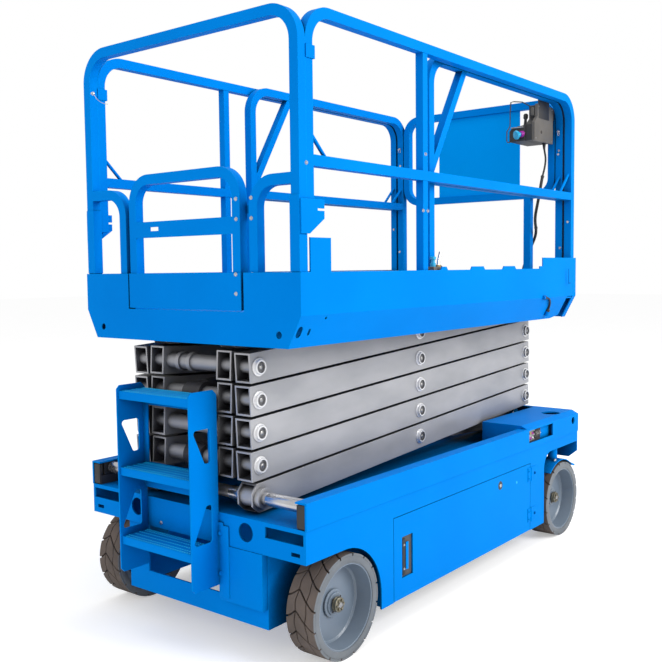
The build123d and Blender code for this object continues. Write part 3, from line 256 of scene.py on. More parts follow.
# Each edge colour below is a lighter tone along edges, a painted highlight that also stands for wear; each
# hollow setting paints shade into hollows.
MATERIAL_ROWS = (
    # name, light tone, dark tone, roughness, settings
    # blue paint: its lighter blue edges are a painted highlight that also stands for wear, and its hollow
    # setting paints shade into slots, arches and inside corners
    ("blue_paint", (0, 0.218, 0.72), (0, 0.195, 0.66), 0.42,
     dict(BLUE, edge=(0, 0.36, 0.9), hollow=(0.2, (0.12, 0.15, 0.11), 0.26, 0.6))),
    ("blue_sheet", (0, 0.33, 0.9), (0, 0.31, 0.86), 0.5, BLUE),
    ("blue_tread", (0, 0.2, 0.64), (0, 0.18, 0.6), 0.5,
     dict(shine=0.02, tint=(0, 0.4, 1.0), scale=5, fine=140, bump=0.03)),
    # darker blue that paints shade: the shadow in the skirt's pressed slot and the shade on the chassis
    # hinge bolts
    ("painted_shadow_blue", (0, 0.12, 0.42), (0, 0.1, 0.36), 0.6, dict(shine=0.02, scale=9, fine=200)),
    # lighter blue: painted highlight on the rung dimples; also the doors' small round mark
    ("dot_blue", (0, 0.48, 0.85), (0, 0.44, 0.8), 0.4, dict(scale=9, fine=200)),
    # arm paint: its lighter edges are a painted highlight that also stands for wear, and its hollow setting
    # paints shade inside the tubes and between the arms
    ("arm_paint", (0.44, 0.44, 0.455), (0.335, 0.34, 0.358), 0.4,
     dict(metal=0.35, scale=3.0, fine=150, bump=0.02, edge=(0.7, 0.7, 0.72), stretch=(1, 1, 2.5),
          hollow=(0.12, (0.09, 0.09, 0.1), 0.3, 0.82))),
    # wheel grey: its lighter edge tone paints the highlight on the rim's edges and fillets, and also stands
    # for wear
    ("wheel_grey", (0.17, 0.215, 0.27), (0.14, 0.178, 0.228), 0.36,
     dict(coat=0.3, scale=6, fine=120, bump=0.02, edge=(0.42, 0.5, 0.58))),
    ("sidewall_grey", (0.165, 0.182, 0.2), (0.125, 0.14, 0.156), 0.58,
     dict(scale=9, fine=200, bump=0.03)),
    ("tread_rubber", (0.128, 0.098, 0.082), (0.086, 0.068, 0.058), 0.78,
     dict(scale=14, fine=260, bump=0.05)),
    # darker rubber: painted shade on the tyre's groove floor and in the hub's holes; also the control case's
    # small round mark
    ("groove_rubber", (0.052, 0.04, 0.034), (0.032, 0.025, 0.022), 0.9, dict(scale=14, fine=200)),
    ("bright_steel", (0.72, 0.72, 0.73), (0.56, 0.56, 0.57), 0.22, dict(metal=0.95, scale=12, fine=220)),
    ("bare_steel", (0.5, 0.49, 0.48), (0.36, 0.355, 0.35), 0.34, dict(metal=0.9, scale=10, fine=200)),
    ("ring_metal", (0.84, 0.84, 0.85), (0.76, 0.76, 0.77), 0.34, dict(metal=0.55, scale=12, fine=220)),
    ("pin_metal", (0.17, 0.17, 0.175), (0.11, 0.11, 0.116), 0.36, dict(metal=0.6, scale=40, fine=220)),
    ("aged_nut", (0.3, 0.27, 0.2), (0.16, 0.15, 0.11), 0.42, dict(metal=0.8, scale=60, fine=300)),
    ("dark_metal", (0.05, 0.05, 0.055), (0.03, 0.03, 0.034), 0.45, dict(metal=0.3, scale=20, fine=200)),
    ("dark_case", (0.075, 0.074, 0.072), (0.052, 0.052, 0.052), 0.55,
     dict(scale=9, fine=320, bump=0.05, edge=(0.16, 0.16, 0.16))),
    ("case_grey", (0.128, 0.116, 0.098), (0.096, 0.088, 0.076), 0.5,
     dict(scale=11, fine=340, bump=0.05, edge=(0.24, 0.22, 0.19))),
    ("case_black", (0.03, 0.029, 0.028), (0.02, 0.02, 0.02), 0.5,
     dict(scale=9, fine=320, bump=0.05, edge=(0.09, 0.085, 0.08))),
    ("black_rubber", (0.022, 0.022, 0.023), (0.014, 0.014, 0.015), 0.6, dict(scale=30, fine=260, bump=0.03)),
    ("deck_grey", (0.42, 0.425, 0.43), (0.33, 0.335, 0.34), 0.42,
     dict(metal=0.6, scale=6, fine=120, bump=0.03, edge=(0.6, 0.6, 0.6))),
    ("knob_blue", (0.01, 0.42, 0.68), (0.01, 0.36, 0.62), 0.3, dict(coat=0.4, scale=40, fine=200)),
    ("magenta_plastic", (0.42, 0.02, 0.36), (0.36, 0.015, 0.3), 0.4, dict(scale=40, fine=200)),
    ("brass", (0.62, 0.43, 0.18), (0.5, 0.34, 0.14), 0.3, dict(metal=0.9, scale=40, fine=200)),
)
MAT = {name: noise_material(name, light, dark, rough, **more)
       for name, light, dark, rough, more in MATERIAL_ROWS}


def dress_cad_nodes():
    """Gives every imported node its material."""
    silver = [f"{kind}_arm_{k}" for kind in ("inner", "outer") for k in range(1, 6)]
    rows = (
        ("arm_paint", silver),
        ("bare_steel", ["rod_lower", "rod_upper"]),
        ("dark_metal", ["barrel_lower", "barrel_upper", "tie_rod", "rear_axles", "tray_right", "tray_left"]),
        ("wheel_grey", [name for name in NODES if name.startswith("rim_")]),
        ("tread_rubber", [name for name in NODES if name.startswith("tyre_")]),
        ("dark_case", ["control_box", "battery_pack", "hydraulic_unit"]),
        ("dark_metal", ["wear_strips"]),
        ("black_rubber", ["slide_blocks_lower", "slide_blocks_upper"]),
        ("deck_grey", ["extension_deck"]),
        ("blue_sheet", ["front_panel"]),
    )
    chosen = {node: name for name, members in rows for node in members}
    for name, node in NODES.items():
        node.data.materials.clear()
        node.data.materials.append(MAT[chosen.get(name, "blue_paint")])


# ------------------------------ mesh pieces
class Piece:
    """A mesh built up from simple worked forms, all given in the row frame."""

    def __init__(self, name):
        self.name = name
        self.mesh = bmesh.new()
        self.materials = []

    def slot(self, material):
        """Index of a material's name on this piece."""
        if material not in self.materials:
            self.materials.append(material)
        return self.materials.index(material)

    def keep(self, verts, material, turn=None, shift=None):
        """Places new vertices and gives their faces a material."""
        if turn is not None:
            bmesh.ops.transform(self.mesh, matrix=turn, verts=verts)
        if shift is not None:
            bmesh.ops.translate(self.mesh, vec=Vector(shift), verts=verts)
        index = self.slot(material)
        for face in {face for vert in verts for face in vert.link_faces}:
            face.material_index = index

    def block(self, low, high, material, bevel=0.0015, turn=None):
        """Box with chamfered edges; turn is about its own middle."""
        low, high = Vector(low), Vector(high)
        before = set(self.mesh.verts)
        made = bmesh.ops.create_cube(self.mesh, size=1.0)["verts"]
        size = [abs(a - b) for a, b in zip(low, high)]
        bmesh.ops.scale(self.mesh, vec=size, verts=made)
        if bevel:
            edges = list({edge for vert in made for edge in vert.link_edges})
            bmesh.ops.bevel(self.mesh, geom=edges, offset=min(bevel, min(size) * 0.4), segments=2,
                            profile=0.5, affect="EDGES")
            made = [vert for vert in self.mesh.verts if vert not in before]
        self.keep(made, material, turn, (low + high) / 2)

    def ring(self, places):
        """New vertices at the places."""
        return [self.mesh.verts.new(place) for place in places]

    def bridge(self, rings, steps):
        """Faces between neighbouring rings; a ring may be a single point."""
        for first, second in zip(rings, rings[1:]):
            for i in range(steps):
                j = (i + 1) % steps
                corners = [first[i % len(first)], first[j % len(first)], second[j % len(second)],
                           second[i % len(second)]]
                face = list(dict.fromkeys(corners))
                if len(face) > 2:
                    self.mesh.faces.new(face)

    def lathe(self, centre, axis, profile, material, steps=24):
        """Turned form; each profile row is a distance along the axis and a radius."""
        turns = [2 * pi * i / steps for i in range(steps)]
        rings = []
        for along, radius in profile:
            if radius < 1e-6:
                rings.append(self.ring([(0, 0, along)]))
            else:
                rings.append(self.ring((radius * cos(turn), radius * sin(turn), along) for turn in turns))
        self.bridge(rings, steps)
        verts = [vert for ring in rings for vert in ring]
        turn = Vector(axis).to_track_quat("Z", "Y").to_matrix().to_4x4()
        self.keep(verts, material, turn, centre)

    def stud(self, centre, axis, radius, top, height, material, steps=24):
        """Round boss with a slightly smaller top."""
        self.lathe(centre, axis, [(0, radius), (height, top), (height, 0)], material, steps)

    def hexagon(self, centre, axis, radius, height, material):
        """Bolt head or nut with a chamfered top."""
        profile = [(0, 0), (0, radius), (height * 0.8, radius), (height, radius * 0.86), (height, 0)]
        self.lathe(centre, axis, profile, material, 6)

    def bolt(self, centre, axis, size, material="bright_steel"):
        """Hex head on a washer; size is the thread diameter."""
        washer = [(0, size * 1.15), (size * 0.15, size * 1.1), (size * 0.18, 0)]
        self.lathe(centre, axis, washer, material, 20)
        seat = Vector(centre) + Vector(axis).normalized() * size * 0.17
        self.hexagon(seat, axis, size * 0.9, size * 0.6, material)

    def pipe(self, points, radius, material, sides=10):
        """Round bar or wire through the points."""
        points = [Vector(p) for p in points]
        rings = []
        normal = None
        for i, point in enumerate(points):
            before = points[max(i - 1, 0)]
            after = points[min(i + 1, len(points) - 1)]
            ahead = (after - before).normalized()
            if normal is None:
                normal = ahead.orthogonal().normalized()
            normal = (normal - ahead * normal.dot(ahead)).normalized()
            across = ahead.cross(normal)
            stretch = 1.0
            if 0 < i < len(points) - 1:
                bend = (point - before).angle(after - point)
                stretch = 1 / max(cos(bend / 2), 0.5)
            spokes = [normal * cos(2 * pi * k / sides) + across * sin(2 * pi * k / sides)
                      for k in range(sides)]
            rings.append(self.ring(point + spoke * radius * stretch for spoke in spokes))
        self.bridge(rings, sides)
        self.mesh.faces.new(rings[0][::-1])
        self.mesh.faces.new(rings[-1])
        self.keep([vert for ring in rings for vert in ring], material)

    def prism(self, outline, low, high, material, flat_axis="y"):
        """Plate with an outline in the other two axes, between two values of the flat axis, x or y."""
        def corner(a, b, t):
            return (t, a, b) if flat_axis == "x" else (a, t, b)

        first = self.ring(corner(a, b, low) for a, b in outline)
        second = self.ring(corner(a, b, high) for a, b in outline)
        self.mesh.faces.new(first)
        self.mesh.faces.new(second[::-1])
        count = len(outline)
        for i in range(count):
            j = (i + 1) % count
            self.mesh.faces.new((first[j], first[i], second[i], second[j]))
        self.keep(first + second, material)

    def place(self, body, slot, sharp=35):
        """Finishes the mesh and hands it to its body."""
        bmesh.ops.recalc_face_normals(self.mesh, faces=self.mesh.faces[:])
        for face in self.mesh.faces:
            face.smooth = True
        for edge in self.mesh.edges:
            if len(edge.link_faces) == 2 and edge.calc_face_angle(0) > radians(sharp):
                edge.smooth = False
        data = bpy.data.meshes.new(self.name)
        self.mesh.to_mesh(data)
        self.mesh.free()
        for material in self.materials:
            data.materials.append(MAT[material])
        piece = bpy.data.objects.new(self.name, data)
        bpy.context.scene.collection.objects.link(piece)
        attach(piece, body)
        return piece


def middle(node):
    """Centre of a node's box."""
    low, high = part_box(node)
    return (low + high) / 2


# ------------------------------ wheels
LUGS = 16                     # shoulder blocks round one tyre
TREAD_DEPTH = 0.009
ZIGZAG = (0.021, 0.006)       # where the groove between two rows runs, and how far it swings
GROOVE = 0.0035
TYRE_STEPS = 96
SHOULDER = 0.002              # how far the tread's edge stays inside the sidewall
HUB_BOSS = 0.072              # faces of the hub boss and the disc, outboard of the rim's inner face
HUB_DISC = 0.056
HUB_HOLES = 4
HOLE_CIRCLE = 0.032
NUT_RISE = 0.015
NUT_LUGS = 6


def swing(turn, sign):
    """Distance across the tread of the zigzag groove, at an angle in pitches."""
    base, wave = ZIGZAG
    share = turn + 0.3 + (0.5 if sign < 0 else 0)
    share -= floor(share)
    return sign * (base + wave * (1 - abs(2 * share - 1)))


def shoulder_cut(share):
    """How far the groove between two shoulder blocks leans, from its inner end to the shoulder."""
    return -0.34 * (1 - share) ** 1.6


def tread_block(piece, centre, radius, start, lean, low, high, side_material):
    """One tread block on the round; low and high give its edges across the tread at an angle in pitches."""
    pitch = 2 * pi / LUGS
    gap = GROOVE / (radius * pitch)
    columns, rows = 7, 3

    def vert(t, s, depth, inset):
        t = inset / 0.06 + t * (1 - 2 * inset / 0.06)
        s = inset / 0.04 + s * (1 - 2 * inset / 0.04)
        turn = start + gap + lean(s) + t * (1 - 2 * gap)
        across = low(turn) + (high(turn) - low(turn)) * s
        r = radius - depth
        return piece.mesh.verts.new((centre.x + r * cos(turn * pitch), centre.y + across,
                                     centre.z + r * sin(turn * pitch)))

    grid = [[vert(i / columns, j / rows, 0, 0.0012) for j in range(rows + 1)] for i in range(columns + 1)]
    rim_steps = ([(i, 0) for i in range(columns)] + [(columns, j) for j in range(rows)]
                 + [(i, rows) for i in range(columns, 0, -1)] + [(0, j) for j in range(rows, 0, -1)])
    rings = [[grid[i][j] for i, j in rim_steps]]
    for depth in (0.0014, TREAD_DEPTH):
        rings.append([vert(i / columns, j / rows, depth, 0) for i, j in rim_steps])
    top = [(grid[i][j], grid[i + 1][j], grid[i + 1][j + 1], grid[i][j + 1])
           for i in range(columns) for j in range(rows)]
    faces = [piece.mesh.faces.new(corners) for corners in top]
    tread, flank = piece.slot("tread_rubber"), piece.slot(side_material)
    for first, second in zip(rings, rings[1:]):
        for k in range(len(first)):
            m = (k + 1) % len(first)
            face = piece.mesh.faces.new((first[k], first[m], second[m], second[k]))
            outer = rim_steps[k][1] == rows and rim_steps[m][1] == rows
            face.material_index = flank if outer else tread
    for face in faces:
        face.material_index = tread


def add_tyre(end, side, name):
    """Solid tyre: two rows of leaning shoulder blocks either side of a middle row."""
    node = f"tyre_{end}_{name}"
    low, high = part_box(node)
    centre = (low + high) / 2
    radius = (high.z - low.z) / 2
    half = (high.y - low.y) / 2
    piece = Piece(f"tread_{end}_{name}")
    base = radius - TREAD_DEPTH
    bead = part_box(f"rim_{end}_{name}")[1].z - centre.z
    grey, dark = "sidewall_grey", "groove_rubber"
    axis = (0, side, 0)
    flat = half - SHOULDER
    # the groove floor between the blocks is darker rubber that paints the shade in the grooves
    piece.lathe(centre, axis, [(-flat, base), (flat, base)], dark, TYRE_STEPS)
    for sign in (-1, 1):
        wall = [(flat, base), (half - 0.0005, base - 0.002), (half, base - 0.006), (half, bead + 0.006),
                (flat, bead)]
        piece.lathe(centre, axis, [(sign * out, r) for out, r in wall], grey, TYRE_STEPS)
    piece.lathe(centre, axis, [(-flat, bead), (flat, bead)], grey, TYRE_STEPS)
    edge = half - 0.0012
    for k in range(LUGS):
        for sign in (-1, 1):
            tread_block(piece, centre, radius, k + (0.5 if sign < 0 else 0), shoulder_cut,
                        lambda turn, sign=sign: swing(turn, sign) + sign * GROOVE / 2,
                        lambda turn, sign=sign: sign * edge, grey)
        tread_block(piece, centre, radius, k + 0.15, lambda s: -0.5 * s,
                    lambda turn: swing(turn, -1) + GROOVE / 2, lambda turn: swing(turn, 1) - GROOVE / 2,
                    "tread_rubber")
    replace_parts(piece.place(f"wheel_{end}_{name}", "tyre_rubber", sharp=28), node)


def add_hub(end, side, name):
    """Dark discs that paint the shade in the hub plate's holes, the weld ring of one wheel, and the castle
    nut with its split pin.
    """
    low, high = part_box(f"rim_{end}_{name}")
    centre = (low + high) / 2
    inner = low.y if side > 0 else high.y
    face = inner + side * HUB_BOSS
    disc = inner + side * HUB_DISC
    piece = Piece(f"hub_{end}_{name}")
    axis = (0, side, 0)
    for k in range(HUB_HOLES):
        turn = radians(45 + 90 * k)
        place = (centre.x + HOLE_CIRCLE * cos(turn), face, centre.z + HOLE_CIRCLE * sin(turn))
        piece.lathe(place, axis, [(-0.0002, 0.0042), (0.0006, 0.004), (0.0006, 0)], "groove_rubber", 14)
    weld = [(0, 0.052), (0.003, 0.05), (0.004, 0.046), (0.004, 0.042)]
    piece.lathe((centre.x, disc, centre.z), axis, weld, "wheel_grey", 48)
    piece.place(f"wheel_{end}_{name}", "wheel_grey")
    add_castle_nut(end, side, name, Vector((centre.x, face + side * NUT_RISE, centre.z)))


def add_castle_nut(end, side, name, top):
    """Nut over the spindle's end, with low lugs and a split pin; top is the middle of its outer face."""
    axis = (0, side, 0)
    aged = "aged_nut"
    nut = Piece(f"nut_{end}_{name}")
    nut.lathe(top, axis, [(-0.0148, 0.0282), (-0.0115, 0.028), (-0.011, 0.0272), (-0.001, 0.0268),
                          (0.0006, 0.024), (0.0006, 0)], aged, 30)
    lug = 0.0045
    for k in range(NUT_LUGS):
        turn = 2 * pi * k / NUT_LUGS
        here = top + Vector((cos(turn), 0, sin(turn))) * 0.0175
        nut.block(here - Vector((lug, 0, lug)), here + Vector((lug, side * 0.0055, lug)), aged, 0.0008,
                  Matrix.Rotation(-turn, 4, "Y"))
    pin = top + Vector((0, side * 0.0035, 0))
    reach = Vector((0.022, 0, 0))
    nut.pipe([pin - reach, pin + reach], 0.0018, "bright_steel", 8)
    stub = [(0, 0.0105), (0.0042, 0.01), (0.005, 0.008), (0.005, 0)]
    nut.lathe(top, axis, stub, "bare_steel", 20)
    nut.place("chassis" if end == "rear" else f"steer_{name}", "bare_steel")


# ------------------------------ scissor stack
LEVELS = 5
BUSH_BORE = 0.0203
BUSH_R = 0.027
ARM_END = 0.045               # from an arm's end to its pin
PIN_DEPTH = 0.005             # pins end this far inside the outer arms' faces
CORE_DEPTH = 0.0036
SLEEVE_SPANS = ((0.353, 0.526), (0.17, 0.256))      # from the middle of the machine outwards


def arm_ends(k):
    """XZ of the rear, middle and front pins of outer arm k, from the boxes of the arms that meet there."""
    rear_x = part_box("outer_arm_1")[0].x + ARM_END
    front_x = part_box(f"outer_arm_{LEVELS}")[1].x - ARM_END
    slide = middle("slide_blocks_lower").z
    pitch = (middle("slide_blocks_upper").z - slide) / LEVELS
    rear = (rear_x, slide + (k - 1) * pitch)
    front = (front_x, slide + k * pitch)
    return rear, ((rear_x + front_x) / 2, slide + (k - 0.5) * pitch), front


def add_pin_ends():
    """Bright bush rings on the outer arms, and the pin ends inside them on the inner arms."""
    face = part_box("outer_arm_2")[1].y
    ring = [(-0.0142, BUSH_R + 0.0065), (-0.0105, BUSH_R + 0.006), (-0.0095, BUSH_R + 0.0003),
            (-0.001, BUSH_R + 0.0003), (0.0004, BUSH_R - 0.001), (0.0004, BUSH_BORE + 0.001),
            (-0.001, BUSH_BORE + 0.0003), (-0.0038, BUSH_BORE + 0.0002)]
    cap = [(0, 0.0195), (0.0003, 0.018), (0.003, 0.0175), (0.0036, 0.0166), (0.0036, 0.0146),
           (0.0016, 0.014), (0.0016, 0)]
    core = [(0, 0.008), (0.0014, 0.0072), (0.0028, 0.004), (0.0032, 0)]
    for k in range(1, LEVELS + 1):
        rear, mid, front = arm_ends(k)
        rings = Piece(f"bush_rings_{k}")
        for x, z in (mid, front) if k == 1 else (rear, mid, front):
            for side in (-1, 1):
                rings.lathe((x, side * face, z), (0, side, 0), ring, "ring_metal", 36)
        rings.place(f"outer_arm_{k}", "arm_steel")
        spots = [mid]
        if k > 1:
            spots.append((front[0], rear[1]))
        if k < LEVELS:
            spots.append((rear[0], front[1]))
        pins = Piece(f"pin_ends_{k}")
        for x, z in spots:
            for side in (-1, 1):
                pins.lathe((x, side * (face - PIN_DEPTH), z), (0, side, 0), cap, "pin_metal", 30)
                pins.lathe((x, side * (face - CORE_DEPTH), z), (0, side, 0), core, "bare_steel", 24)
        pins.place(f"inner_arm_{k}", "dark_metal")


def add_pin_keepers():
    """Keeper plates on the platform's front lugs and on the chassis's front lugs."""
    low = arm_ends(1)[0][1]
    x, high = arm_ends(LEVELS)[2]
    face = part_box("outer_arm_2")[1].y
    for body, z, y in (("platform", high, face + 0.024), ("chassis", low, 0.2595)):
        piece = Piece(f"pin_keepers_{body}")
        for side in (-1, 1):
            piece.stud((x, side * y, z), (0, side, 0), 0.0195, 0.0185, 0.0012, "bright_steel", 30)
            piece.bolt((x - 0.034, side * y, z + 0.022), (0, side, 0), 0.006)
        piece.place(body, "bare_steel")


def add_slider_sleeves():
    """Polished sleeves on the slider rod between the first pair of arms and the track."""
    x, z = arm_ends(1)[0]
    piece = Piece("slider_sleeves")
    for side in (-1, 1):
        for start, end in SLEEVE_SPANS:
            long = end - start
            sleeve = [(0, 0), (0, 0.024), (0.002, 0.0246), (long - 0.002, 0.0246), (long, 0.024),
                      (long, 0)]
            piece.lathe((x, side * start, z), (0, side, 0), sleeve, "bright_steel", 32)
    piece.place("outer_arm_1", "bare_steel")


def add_ram_fittings():
    """Gland nut and two ports on each lift cylinder."""
    gland = [(0, 0.0452), (0, 0.0475), (0.04, 0.0475), (0.046, 0.0445), (0.049, 0.0445)]
    port = [(0, 0.014), (0.012, 0.014), (0.012, 0.01), (0.02, 0.01), (0.02, 0)]
    for name in ("lower", "upper"):
        low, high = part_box(f"barrel_{name}")
        start = Vector((low.x + 0.046, 0, low.z + 0.046))
        rod_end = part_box(f"rod_{name}")[1]
        along = Vector((rod_end.x - 0.038 - start.x, 0, rod_end.z - 0.04 - start.z)).normalized()
        length = (high.x - 0.004 - start.x) / along.x
        piece = Piece(f"ram_{name}_fittings")
        piece.lathe(start + along * (length - 0.052), along, gland, "dark_metal", 36)
        up = Vector((-along.z, 0, along.x))
        for share in (0.1, 0.86):
            piece.lathe(start + along * (length * share) + up * 0.044, up, port, "bare_steel", 20)
        piece.place(f"barrel_{name}", "dark_metal")


# ------------------------------ chassis fittings
PANEL_Y = 0.579               # outer face of the side doors
HINGE_Z = (0.185, 0.386)
HINGE_GAP = 0.018
LATCH_X = -0.452
DOOR_LOCK = (0.324, 0.392)
DOOR_DOT = (0.49, 0.374)
RUNG_INSIDE = (-0.155, 0.227)
RUNG_DROPS = (0.022, 0.315, 0.582)      # rungs' tops below the ladder's top
DIMPLE_ROWS = (0.016, 0.034, 0.06, 0.085, 0.108, 0.122)
DIMPLE_PITCH = 0.0125
KINGPIN_Y = 0.42
FENDER_Y = (0.543, 0.581)
FENDER_R = (0.2055, 0.201)
FENDER_STEPS = 12


def between(a, b):
    """Two values in rising order, for a plate that may lie on either side."""
    return min(a, b), max(a, b)


def add_chassis_bolts():
    """Bolts of the side panels, the rear band, the ladder and the front plate."""
    piece = Piece("chassis_bolts")
    panel = -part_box("side_frame_right")[0].y - 0.003
    ladder_low, ladder_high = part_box("ladder")
    rear = ladder_high.x
    for side in (-1, 1):
        # hinge bolts in the darker blue that paints their shade
        for z in HINGE_Z:
            piece.bolt((0.677, side * (panel + 0.0005), z), (0, side, 0), 0.006, "painted_shadow_blue")
        piece.bolt((rear - 0.0002, side * 0.156, 0.42), (-1, 0, 0), 0.007)
    for z in (0.29, 0.44):
        for y in (ladder_low.y + 0.012, ladder_high.y - 0.012):
            piece.bolt((rear - 0.0062, y, z), (-1, 0, 0), 0.008, "blue_tread")
    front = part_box("chassis_frame")[1].x
    for y in (-0.45, -0.15, 0.15, 0.45):
        piece.bolt((front, y, 0.47), (1, 0, 0), 0.008, "blue_tread")
    piece.place("chassis", "bare_steel")


def add_rear_plates():
    """Wing plate and cover beside the ladder, web behind the rear opening, and the track's end stops."""
    blue = "blue_paint"
    piece = Piece("rear_plates")
    for low, high, bevel in (((-1.0764, -0.216, 0.202), (-1.0702, -0.165, 0.47), 0.0015),
                             ((-1.0728, -0.378, 0.19), (-1.0702, -0.165, 0.396), 0.0005),
                             ((-1.0704, -0.378, 0.19), (-1.0446, -0.252, 0.396), 0.0005),
                             ((-0.995, -0.372, 0.123), (-0.987, -0.165, 0.389), 0.0015)):
        piece.block(low, high, blue, bevel)
    piece.place("chassis", "blue_paint")
    stops = Piece("track_stops")
    for side in (-1, 1):
        inner, outer = between(side * 0.537, side * 0.572)
        stops.block((-1.069, inner, 0.519), (-1.052, outer, 0.601), "case_black", 0.003)
    stops.place("chassis", "dark_case")


def add_kingpins():
    """Kingpin caps under the steered wheels' knuckles, and the tie rod's nuts."""
    for sign, name in SIDES:
        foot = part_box(f"knuckle_{name}")[0].z
        x = middle(f"rim_front_{name}").x
        y = sign * KINGPIN_Y
        piece = Piece(f"kingpin_{name}")
        piece.lathe((x, y, foot), (0, 0, -1),
                    [(-0.002, 0.026), (0.006, 0.024), (0.01, 0.015), (0.01, 0)], "dark_metal", 28)
        piece.hexagon((x - 0.12, y, 0.273), (0, 0, 1), 0.014, 0.009, "bare_steel")
        piece.place(f"steer_{name}", "dark_metal")


def add_fenders():
    """Blue guard that carries each yoke plate out over the tyre, with its tube, pin and front lip."""
    blue = "blue_paint"
    lip = ((0.04, 0.1995), (0.176, 0.148), (0.17, 0.142), (0.134, 0.151), (0.086, 0.182))
    tube = [(-0.006, 0), (-0.006, 0.024), (0.052, 0.024), (0.056, 0.021), (0.056, 0)]
    turns = [radians(50 + 80 * k / FENDER_STEPS) for k in range(FENDER_STEPS + 1)]
    outer_r, inner_r = FENDER_R
    shell = [(outer_r * cos(turn), outer_r * sin(turn)) for turn in turns]
    shell += [(inner_r * cos(turn), inner_r * sin(turn)) for turn in reversed(turns)]
    for sign, name in SIDES:
        hub = middle(f"rim_front_{name}")
        crown = hub.z + outer_r
        inner, outer = between(sign * FENDER_Y[0], sign * FENDER_Y[1])
        piece = Piece(f"fender_{name}")
        for outline in (shell, lip):
            piece.prism([(hub.x + a, hub.z + b) for a, b in outline], inner, outer, blue)
        piece.lathe((hub.x, sign * 0.532, crown), (0, 0, 1), tube, blue, 32)
        piece.lathe((hub.x - 0.034, sign * 0.56, crown - 0.006), (0, 0, 1),
                    [(0, 0.009), (0.01, 0.009), (0.013, 0.006), (0.013, 0)], "bright_steel", 20)
        piece.place(f"steer_{name}", "blue_paint")


def add_rung_grip():
    """Rows of raised dimples on the ladder's rungs, in a lighter blue that paints the highlight they catch.
    """
    low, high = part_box("ladder")
    piece = Piece("rung_grip")
    first, last = RUNG_INSIDE
    count = int((last - first) / DIMPLE_PITCH)
    dimple = [(-0.0005, 0.0042), (0.0022, 0.0026), (0.0024, 0)]
    for drop in RUNG_DROPS:
        for row, inset in enumerate(DIMPLE_ROWS):
            for i in range(count):
                y = first + (i + 0.5 + 0.5 * (row % 2)) * DIMPLE_PITCH
                if y < last:
                    piece.lathe((low.x + inset, y, high.z - drop), (0, 0, 1), dimple, "dot_blue", 8)
    piece.place("chassis", "blue_paint", sharp=60)


BAY_PANEL = (0.012, 0.182)              # from the cover's rear end, along the machine
BAY_Z = (0.546, 0.596)
BAY_BUTTONS = (
    # along, up, material
    (0.018, 0.036, "black_rubber"), (0.04, 0.036, "brass"),
    (0.062, 0.034, "magenta_plastic"), (0.084, 0.036, "black_rubber"),
    (0.018, 0.014, "bright_steel"), (0.04, 0.012, "magenta_plastic"),
    (0.064, 0.012, "bright_steel"), (0.084, 0.014, "black_rubber"),
)


def add_ground_controls():
    """Control panel, sockets and switches inside the bay of each front cover."""
    low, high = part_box("front_covers")
    x0, x1 = low.x + BAY_PANEL[0], low.x + BAY_PANEL[1]
    z0, z1 = BAY_Z
    for sign, name in SIDES:
        face = sign * (high.y - 0.024)
        axis = (0, sign, 0)
        piece = Piece(f"bay_panel_{name}")

        def wall(a, b, c, d, depth, material, bevel=0.0015):
            inner, outer = between(face, face + sign * depth)
            piece.block((a, inner, c), (b, outer, d), material, bevel)

        wall(x0, x1, z0 - 0.01, z1 + 0.008, 0.002, "dark_case")
        if sign < 0:
            wall(x0 + 0.006, x0 + 0.102, z0 - 0.004, z1, 0.006, "deck_grey", 0.003)
            for dx, dz, tone in BAY_BUTTONS:
                piece.lathe((x0 + 0.006 + dx, face + sign * 0.006, z0 + dz), axis,
                            [(0, 0.0068), (0.005, 0.0064), (0.006, 0.005), (0.006, 0)], tone, 18)
            wall(x0 + 0.108, x0 + 0.164, z0 + 0.002, z1 - 0.004, 0.006, "dark_metal", 0.003)
            for dx in (0.122, 0.15):
                piece.lathe((x0 + dx, face + sign * 0.002, z0 + 0.026), axis,
                            [(0, 0.011), (0.006, 0.011), (0.008, 0.009), (0.008, 0)], "case_grey", 24)
                piece.stud((x0 + dx, face + sign * 0.01, z0 + 0.026), axis, 0.004, 0.0036, 0.003,
                           "bright_steel", 16)
        else:
            for dx in (0.045, 0.125):
                wall(x0 + dx - 0.028, x0 + dx + 0.028, z0 + 0.004, z1 - 0.004, 0.006, "dark_metal",
                     0.002)
        piece.place("chassis", "dark_case")


def add_door_fittings():
    """Latch handle in its recess, lock, round mark and hinge bolts of each swing-out door."""
    for sign, name in SIDES:
        panel = sign * PANEL_Y
        axis = (0, sign, 0)
        piece = Piece(f"door_fittings_{name}")
        x = LATCH_X
        inner, outer = between(sign * 0.571, sign * 0.5722)
        piece.block((x - 0.037, inner, 0.19), (x + 0.037, outer, 0.35), "dark_case", 0)
        inner, outer = between(panel, panel - sign * 0.0055)
        piece.block((x - 0.034, inner, 0.198), (x - 0.014, outer, 0.342), "black_rubber", 0.002)
        for z in (0.222, 0.318):
            piece.bolt((x - 0.024, panel - sign * 0.0005, z), axis, 0.0045)
        lock = (DOOR_LOCK[0], panel, DOOR_LOCK[1])
        piece.stud(lock, axis, 0.02, 0.019, 0.0012, "case_black", 28)
        piece.lathe(lock, axis, [(0.001, 0.0085), (0.0028, 0.008), (0.0028, 0.005), (0.0016, 0.0046),
                                 (0.0016, 0)], "bright_steel", 20)
        piece.stud((DOOR_DOT[0], panel, DOOR_DOT[1]), axis, 0.0062, 0.0056, 0.001, "dot_blue", 16)
        for z in HINGE_Z:
            for dz in (-HINGE_GAP, HINGE_GAP):
                piece.bolt((0.618, panel + sign * 0.003, z + dz), axis, 0.005, "blue_paint")
        piece.place(f"door_{name}", "dark_metal")


